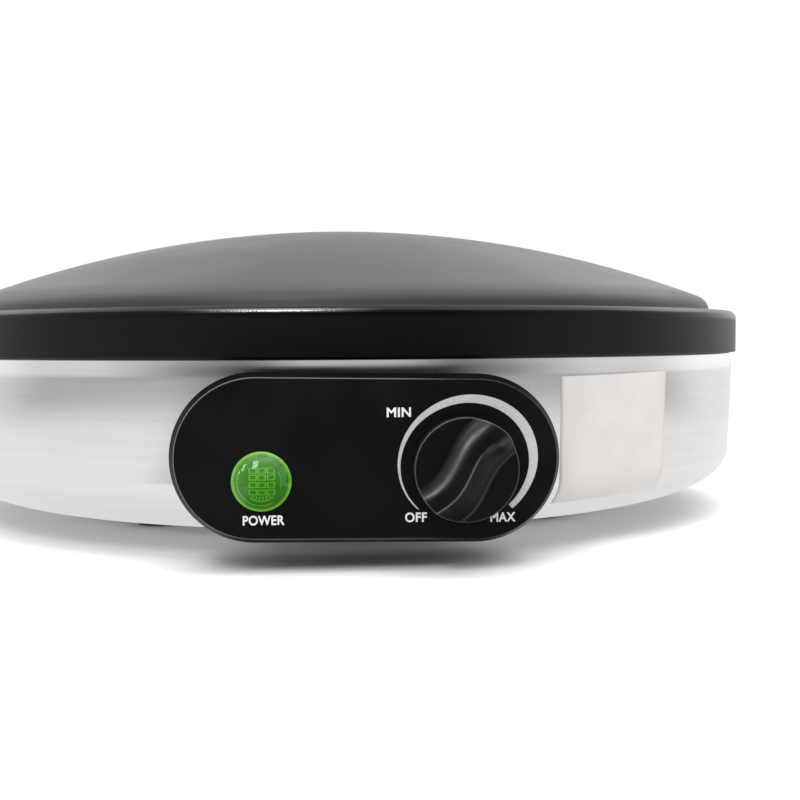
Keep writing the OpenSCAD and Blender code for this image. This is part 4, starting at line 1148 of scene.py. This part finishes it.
@dataclass
class PilotLight:
    """The green lens: a body with embossed frames and rays under a clear dome.

    Places and half sides of the frames are in parts of the lens's radius.
    """

    sphere: float = 0.015
    cover: float = 0.0003
    gap: float = 0.0007
    relief: float = 0.00025
    side: float = 0.0005
    fit: float = 0.00015
    back: Pair = (0.0002, 0.0001)
    columns: tuple[float, ...] = (-0.27, 0.025, 0.325)
    rows: tuple[float, ...] = (-0.32, -0.075, 0.17, 0.39)
    frame_half: Pair = (0.115, 0.078)
    frame_line: float = 0.2

    def __post_init__(self) -> None:
        """Reads the lens's place from the frame."""
        low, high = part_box("indicator_lens")
        panel_low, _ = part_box("control_panel")
        self.centre = Vector(((low.x + high.x) / 2, panel_low.y, (low.z + high.z) / 2))
        self.radius = (high.x - low.x) / 2
        self.height = panel_low.y - low.y

    def marks(self, x: np.ndarray, y: np.ndarray) -> np.ndarray:
        """Strength of the embossed lines at points given from the lens's centre.

        A frame's line lies where the larger of the two distances to its middle, each over the
        frame's half side, is one. Rays under the frames repeat every 12 degrees inside an
        arc, two more arcs stand on the right and round the lower left, and a groove lies above
        right. Every line fades as a bell of the distance from its middle.
        """
        u, v = x / self.radius, y / self.radius
        away_u = np.min(np.abs(u[..., None] - np.array(self.columns)), axis=-1) / self.frame_half[0]
        away_v = np.min(np.abs(v[..., None] - np.array(self.rows)), axis=-1) / self.frame_half[1]
        r, a = np.hypot(u, v), np.degrees(np.arctan2(v, u))
        down = np.abs(a + 90) < 38
        frames = bell(np.maximum(away_u, away_v) - 1, self.frame_line) * (r < 0.6)
        rays = bell(r - 0.52, 0.07) * (0.5 + 0.5 * np.cos(np.radians(30 * a))) * down * (v < -0.42)
        low_arc = bell(r - 0.63, 0.022) * down
        right_arc = 0.7 * bell(r - 0.65, 0.02) * (np.abs(a - 5) < 26)
        left_arc = 0.9 * bell(r - 0.79, 0.022) * ((a > 165) | (a < -60))
        groove = -1.2 * bell(r - 0.84, 0.02) * (np.abs(a - 68) < 30)
        return frames + rays + low_arc + right_arc + left_arc + groove

    def cap(self, under: float, r: np.ndarray) -> np.ndarray:
        """Height of a sphere's cap at a depth under the dome: sqrt(radius^2 - r^2)."""
        return self.height - self.sphere + np.sqrt((self.sphere - under) ** 2 - r**2)

    def body_grid(self) -> Points:
        """The lens's body: a cap whose marks stand up, then its side and its flat back."""
        inner = np.linspace(0, self.radius * 0.9, 110)
        r = np.concatenate([inner, np.linspace(self.radius * 0.91, self.radius - self.fit, 10)])
        z = self.cap(self.gap + self.relief, r)
        front = revolved(np.stack([r, z], axis=1), (0.0, 0.0))
        front[..., 2] += self.relief * self.marks(front[..., 0], front[..., 1])
        back = front[-1] * [1, 1, 0] + [0, 0, self.back[0]]
        return np.concatenate([front, back[None], back[None] * [0, 0, 1]])

    def shell(self) -> Points:
        """The clear dome's closed section as (r, outwards) points."""
        r = np.linspace(0, self.radius - self.side, 30)
        over = np.stack([r, self.cap(0, r)], axis=1)
        foot, wall = self.back[1], self.radius - self.fit / 2
        corner = (self.radius, over[-1][1] - self.side * 0.8, self.side)
        outside = rounded([(*over[-1], 0), corner, (self.radius, foot, 0)], steps=5)
        inside = r[::-1] * wall / r[-1]
        inner = np.stack([inside, self.cap(self.cover, inside)], axis=1)
        return np.vstack([over, outside[1:], [[wall, foot]], inner])

    def build(self) -> None:
        """Makes the body with its relief and the clear dome."""
        core = piece("lens_core", faced(self.body_grid(), self.centre), sharp=60.0)
        x, _, z = coordinates(core).T
        keep_values(core, "marks", self.marks(x - self.centre.x, z - self.centre.z))
        green = GreenLens("green_polycarbonate", centre=tuple(self.centre), radius=self.radius)
        carry(core, Body.BASE, green, "indicator_lens", slot="green_lens")
        shell = revolved(self.shell(), (0.0, 0.0), SEGMENTS // 2)
        dome = piece("lens_dome", faced(shell, self.centre), sharp=60.0)
        carry(dome, Body.BASE, LENS_CLEAR, slot="green_lens")
        LOG.info("pilot light: lens of radius %.4f m", self.radius)


@dataclass
class DialPrint:
    """White print on the panel: four words and a dial ring that swells and tapers.

    A word has its middle (x, z) and its width. The ring has angles from the right, and its
    inner and outer radius there in millimetres.
    """

    panel: ControlPanel
    lift: float = 0.00006
    capital: float = 0.0034
    capital_share: float = 0.72
    weight: float = 0.035
    letter_space: float = 1.06
    words: tuple[tuple[str, float, float, float], ...] = (
        ("POWER", -0.0378, 0.0194, 0.0149),
        ("MIN", 0.0114, 0.0578, 0.0088),
        ("OFF", 0.0174, 0.0195, 0.008),
        ("MAX", 0.0492, 0.019, 0.0093),
    )
    ring_centre: Pair = (0.03625, 0.0379)
    ring_span: Pair = (-43.0, 220.5)
    ring: tuple[Triple, ...] = (
        (-43, 20.75, 22.8), (-20, 21.7, 24.25), (0, 22.75, 25.85), (20, 23.4, 26.95),
        (40, 23.8, 27.45), (60, 23.7, 27.1), (80, 23.4, 26.5), (110, 23.15, 25.8),
        (150, 23.95, 25.6), (180, 24.4, 25.4), (200, 24.15, 24.8), (222, 23.25, 23.75),
    )

    def build(self) -> None:
        """Prints the ring, then the words."""
        a = np.linspace(*self.ring_span, 132)
        angles, *radii = np.array(self.ring).T
        inner, outer = (smooth_through(angles, radius, a) / MILLI for radius in radii)
        r = inner + (outer - inner) * np.linspace(0, 1, 5)[:, None]
        x, y = r * np.cos(np.radians(a)), r * np.sin(np.radians(a))
        top, foot = (np.stack([x, y, z + 0 * x], axis=-1) for z in (self.lift, PRINT_FOOT))
        centre = Vector((self.ring_centre[0], self.panel.centre.y, self.ring_centre[1]))
        ring = piece("dial_ring", faced(np.concatenate([top, foot[::-1]]), centre), loops=(True, False))
        cap_ends(ring)
        carry(ring, Body.BASE, DIAL_INK)
        for word in self.words:
            carry(self.word(*word), Body.BASE, WORD_INK)
        LOG.info("dial print: ring and %d words", len(self.words))

    def word(self, text: str, x: float, z: float, width: float) -> Item:
        """One printed word as a thin mesh on the panel's face, of a width, centred at (x, z)."""
        name = "word_" + text.lower()
        curve = bpy.data.curves.new(name, "FONT")
        curve.body = text
        curve.align_x, curve.align_y = "CENTER", "CENTER"
        curve.size = self.capital / self.capital_share
        curve.offset = self.capital * self.weight
        curve.extrude = self.lift / 2
        curve.space_character = self.letter_space
        holder = linked(name, curve)
        bpy.context.view_layer.update()
        solid = holder.evaluated_get(bpy.context.evaluated_depsgraph_get())
        mesh = bpy.data.meshes.new_from_object(solid)
        bpy.data.objects.remove(holder)
        spread = [vertex.co.x for vertex in mesh.vertices]
        fit = Matrix.Diagonal((width / (max(spread) - min(spread)), 1, 1, 1))
        place = Matrix.Translation(Vector((x, self.panel.centre.y - self.lift / 2, z)))
        mesh.transform(place @ Matrix.Rotation(math.pi / 2, 4, "X") @ fit)
        return linked(name, mesh)


@dataclass
class BareLabel:
    """A blank off-white label on the wall, right of the panel."""

    housing: Housing
    angles: Pair = (22.7, 39.8)
    low: Pair = (0.0184, 0.0206)
    high: Pair = (0.0694, 0.0705)
    proud: float = 0.00012

    def build(self) -> None:
        """Lays a thin patch on the wall, between a low and a high edge that both slant."""
        a = np.radians(np.linspace(*self.angles, 33))
        low, high = np.linspace(*self.low, 33), np.linspace(*self.high, 33)
        z = low + (high - low) * np.linspace(0, 1, 25)[:, None]
        r = self.housing.wall_radius(z)
        x, y = self.housing.axis
        top, foot = (
            np.stack([x + (r + lift) * np.sin(a), y - (r + lift) * np.cos(a), z], axis=-1)
            for lift in (self.proud, PRINT_FOOT)
        )
        made = piece("bare_label", np.concatenate([top, foot[::-1]]), loops=(True, False))
        cap_ends(made)
        carry(made, Body.BASE, LABEL_WHITE)
        LOG.info("bare_label: %.3f m wide", float(np.ptp(a)) * self.housing.crease_r)


@dataclass
class CarriedOver:
    """The frame's own nodes that keep their shape and take a better material."""

    dressed: tuple[tuple[Finish, str], ...] = DRESSED

    def build(self) -> None:
        """Puts each finish in its nodes' slots."""
        count = 0
        for finish, names in self.dressed:
            for name in names.split():
                materials = frame["nodes"][name].data.materials
                materials.clear()
                materials.append(finish.material())
                count += 1
        LOG.info("dressed %d nodes of the frame", count)


@dataclass
class Studio:
    """A pale floor, soft lamps, a plain world and the camera."""

    axis: Pair
    camera_at: Triple = (-0.0271, -0.6492, 0.0839)
    yaw: float = 5.16
    pitch: float = 2.84
    roll: float = 0.33
    focal_pixels: float = 1200.0
    image_pixels: float = 800.0
    sensor: float = 36.0
    floor_radius: float = 3.0
    paper: Colour = (0.86, 0.86, 0.86)
    aim_height: float = 0.06

    def camera(self) -> None:
        """Sets the camera where the photograph's view was taken from."""
        yaw, pitch, roll = (math.radians(v) for v in (self.yaw, self.pitch, self.roll))
        forward = Vector((math.sin(yaw) * math.cos(pitch), math.cos(yaw) * math.cos(pitch), -math.sin(pitch)))
        level = Vector((math.cos(yaw), -math.sin(yaw), 0))
        upright = level.cross(forward)
        right = level * math.cos(roll) - upright * math.sin(roll)
        up = upright * math.cos(roll) + level * math.sin(roll)
        data = bpy.data.cameras.new("camera")
        data.sensor_width = self.sensor
        data.lens = self.focal_pixels / self.image_pixels * self.sensor
        data.clip_start = 0.01
        camera = linked("camera", data)
        place = Matrix((right, up, -forward)).transposed().to_4x4()
        place.translation = Vector(self.camera_at) + Vector((*self.axis, 0))
        camera.matrix_world = place
        bpy.context.scene.camera = camera

    def floor(self) -> None:
        """A wide round floor that fades to the background's white."""
        r = np.linspace(0, self.floor_radius, 40)
        made = piece("floor", revolved(np.stack([r, 0 * r], axis=1), self.axis, 96))
        made.data.materials.append(self.floor_material())

    def floor_material(self) -> bpy.types.Material:
        """Pale paper near the object, and plain white light for the camera further out."""
        made, s, surface = new_material("floor_paper")
        s.feed(surface, {"Roughness": 0.9, "Specular IOR Level": 0.1, "Base Color": self.paper})
        point = s.object_point()
        radius, _ = s.reach(point, self.axis)
        path = s.add("LightPath").outputs
        glow = s.add("Emission", {"Color": WHITE, "Strength": 1.0}).outputs[0]
        far = s.times(s.span(radius, 0.3, 0.9), self.seen(s, path))
        paper = s.add("MixShader", {0: far, 1: surface.outputs[0], 2: glow}).outputs[0]
        level = self.mirrored_floor(s, point, radius)
        mirrored = s.add("Emission", {"Color": WHITE, "Strength": level}).outputs[0]
        both = s.add("MixShader", {0: path["Is Glossy Ray"], 1: paper, 2: mirrored}).outputs[0]
        s.feed(s.tree.nodes["Material Output"], {0: both})
        return made

    def mirrored_floor(self, s: Shader, point: Socket, radius: Socket) -> Socket:
        """The floor's brightness in reflections: white close by and behind, dim towards the viewer."""
        turn = self.bearing(s, s.vector("SUBTRACT", point, (*self.axis, 0.0)).outputs[0])
        close = s.span(radius, 0.58, 0.8, 1.0, 0.0)
        side = s.blend(close, s.span(turn, 75.0, 110.0, 0.45, 0.92), 0.98)
        foot = s.times(s.span(turn, 13.0, 20.0), s.span(radius, 0.3, 0.38, 1.0, 0.0))
        dim = s.blend(s.most(s.span(turn, 22.0, 42.0), foot), 0.2, side)
        # Painted shadow: the floor is darker in reflections close under the housing.
        return s.times(dim, s.span(radius, 0.12, 0.24, 0.72, 1.0))

    @staticmethod
    def seen(s: Shader, path: bpy.types.NodeOutputs) -> Socket:
        """One where the camera sees a point, straight or through something clear."""
        return s.most(path["Is Camera Ray"], path["Is Transmission Ray"])

    @staticmethod
    def bearing(s: Shader, way: Socket) -> Socket:
        """Angle of a direction from the viewer's side, to either hand, in degrees."""
        split = s.split(way)
        turn = s.math("ARCTAN2", split[0], s.times(split[1], -1.0))
        return s.times(s.math("ABSOLUTE", turn), math.degrees(1))

    def world(self) -> None:
        """White behind the object for the camera, and a soft room that is dimmer in front."""
        world = bpy.data.worlds.new("studio")
        bpy.context.scene.world = world
        world.use_nodes = True
        s = Shader(world.node_tree)
        way = s.add("TexCoord").outputs["Generated"]
        turn, rise = self.bearing(s, way), s.split(way)[2]
        raised = s.times(s.span(rise, 0.165, 0.24), s.span(turn, 12.0, 32.0, 0.58, 0.1))
        viewer = s.plus(s.span(turn, 22.0, 36.0, 0.004, 0.16), raised)
        horizon = s.minus(s.span(turn, 85.0, 120.0, 0.8, 1.2), s.span(turn, 130.0, 175.0, 0.0, 0.42))
        low = s.blend(s.span(turn, 28.0, 75.0), viewer, horizon)
        behind = s.times(s.span(turn, 80.0, 115.0), s.span(turn, 130.0, 175.0, 2.7, 0.75))
        lifted = s.blend(s.span(rise, 0.3, 0.5), low, s.most(behind, 0.6))
        room = s.blend(s.span(rise, 0.65, 0.9), lifted, 2.0)
        strength = s.most(room, self.seen(s, s.add("LightPath").outputs))
        s.feed(s.tree.nodes["Background"], {"Color": WHITE, "Strength": strength})

    def lamp(self, name: str, at: Triple, size: Pair, power: float) -> Item:
        """One soft rectangular lamp that points at the object."""
        data = bpy.data.lights.new(name, "AREA")
        data.shape = "RECTANGLE"
        data.size, data.size_y = size
        data.energy = power
        lamp = linked(name, data)
        lamp.visible_transmission = False
        place = Vector(at) + Vector((*self.axis, 0))
        aim = Vector((*self.axis, self.aim_height)) - place
        lamp.matrix_world = Matrix.Translation(place) @ aim.to_track_quat("-Z", "Y").to_matrix().to_4x4()
        return lamp

    def build(self) -> None:
        """Sets the camera, the floor, the world and the lamps."""
        self.camera()
        self.floor()
        self.world()
        self.lamp("ceiling", (0.0, 0.1, 1.7), (1.6, 1.2), 15.0).visible_glossy = False
        self.lamp("front_window", (-0.309, -0.868, 0.746), (0.26, 0.38), 3.6)
        self.broad = self.lamp("knob_window", (-0.64, -0.72, 0.6), (0.3, 0.4), 6.5)
        self.narrow = [
            self.lamp("left_window_1", (-0.772, -0.659, 0.552), (0.11, 0.33), 1.3),
            self.lamp("left_window_2", (-0.926, -0.557, 0.344), (0.06, 0.26), 0.55),
        ]
        self.lamp("right_window", (0.8, -0.5, 1.2), (0.9, 0.9), 3.0)
        bpy.context.scene.view_settings.view_transform = "Standard"
        LOG.info("studio: camera %.3f m from the axis", math.hypot(*self.camera_at[:2]))

    @staticmethod
    def keep_on(lamps: list[Item], *names: str) -> None:
        """Keeps the light of lamps on the named pieces, as a flag beside each lamp does."""
        lit = bpy.data.collections.new("lit_" + names[0])
        for name in names:
            lit.objects.link(bpy.data.objects[name])
        for lamp in lamps:
            lamp.light_linking.receiver_collection = lit


def main() -> None:
    """Builds every sub-assembly in order."""
    logging.basicConfig(level=logging.INFO, format="%(message)s")
    plate = BakingPlate()
    studio = Studio(plate.axis)
    studio.build()
    plate.build()
    housing = Housing()
    housing.build()
    panel = ControlPanel(housing)
    panel.build()
    Knob().build()
    PilotLight().build()
    DialPrint(panel).build()
    BareLabel(housing).build()
    CarriedOver().build()
    studio.keep_on(studio.narrow, "panel_moulding", "knob_grip", "lens_core", "lens_dome")
    studio.keep_on([studio.broad], "knob_grip")


if __name__ == "__main__":
    main()
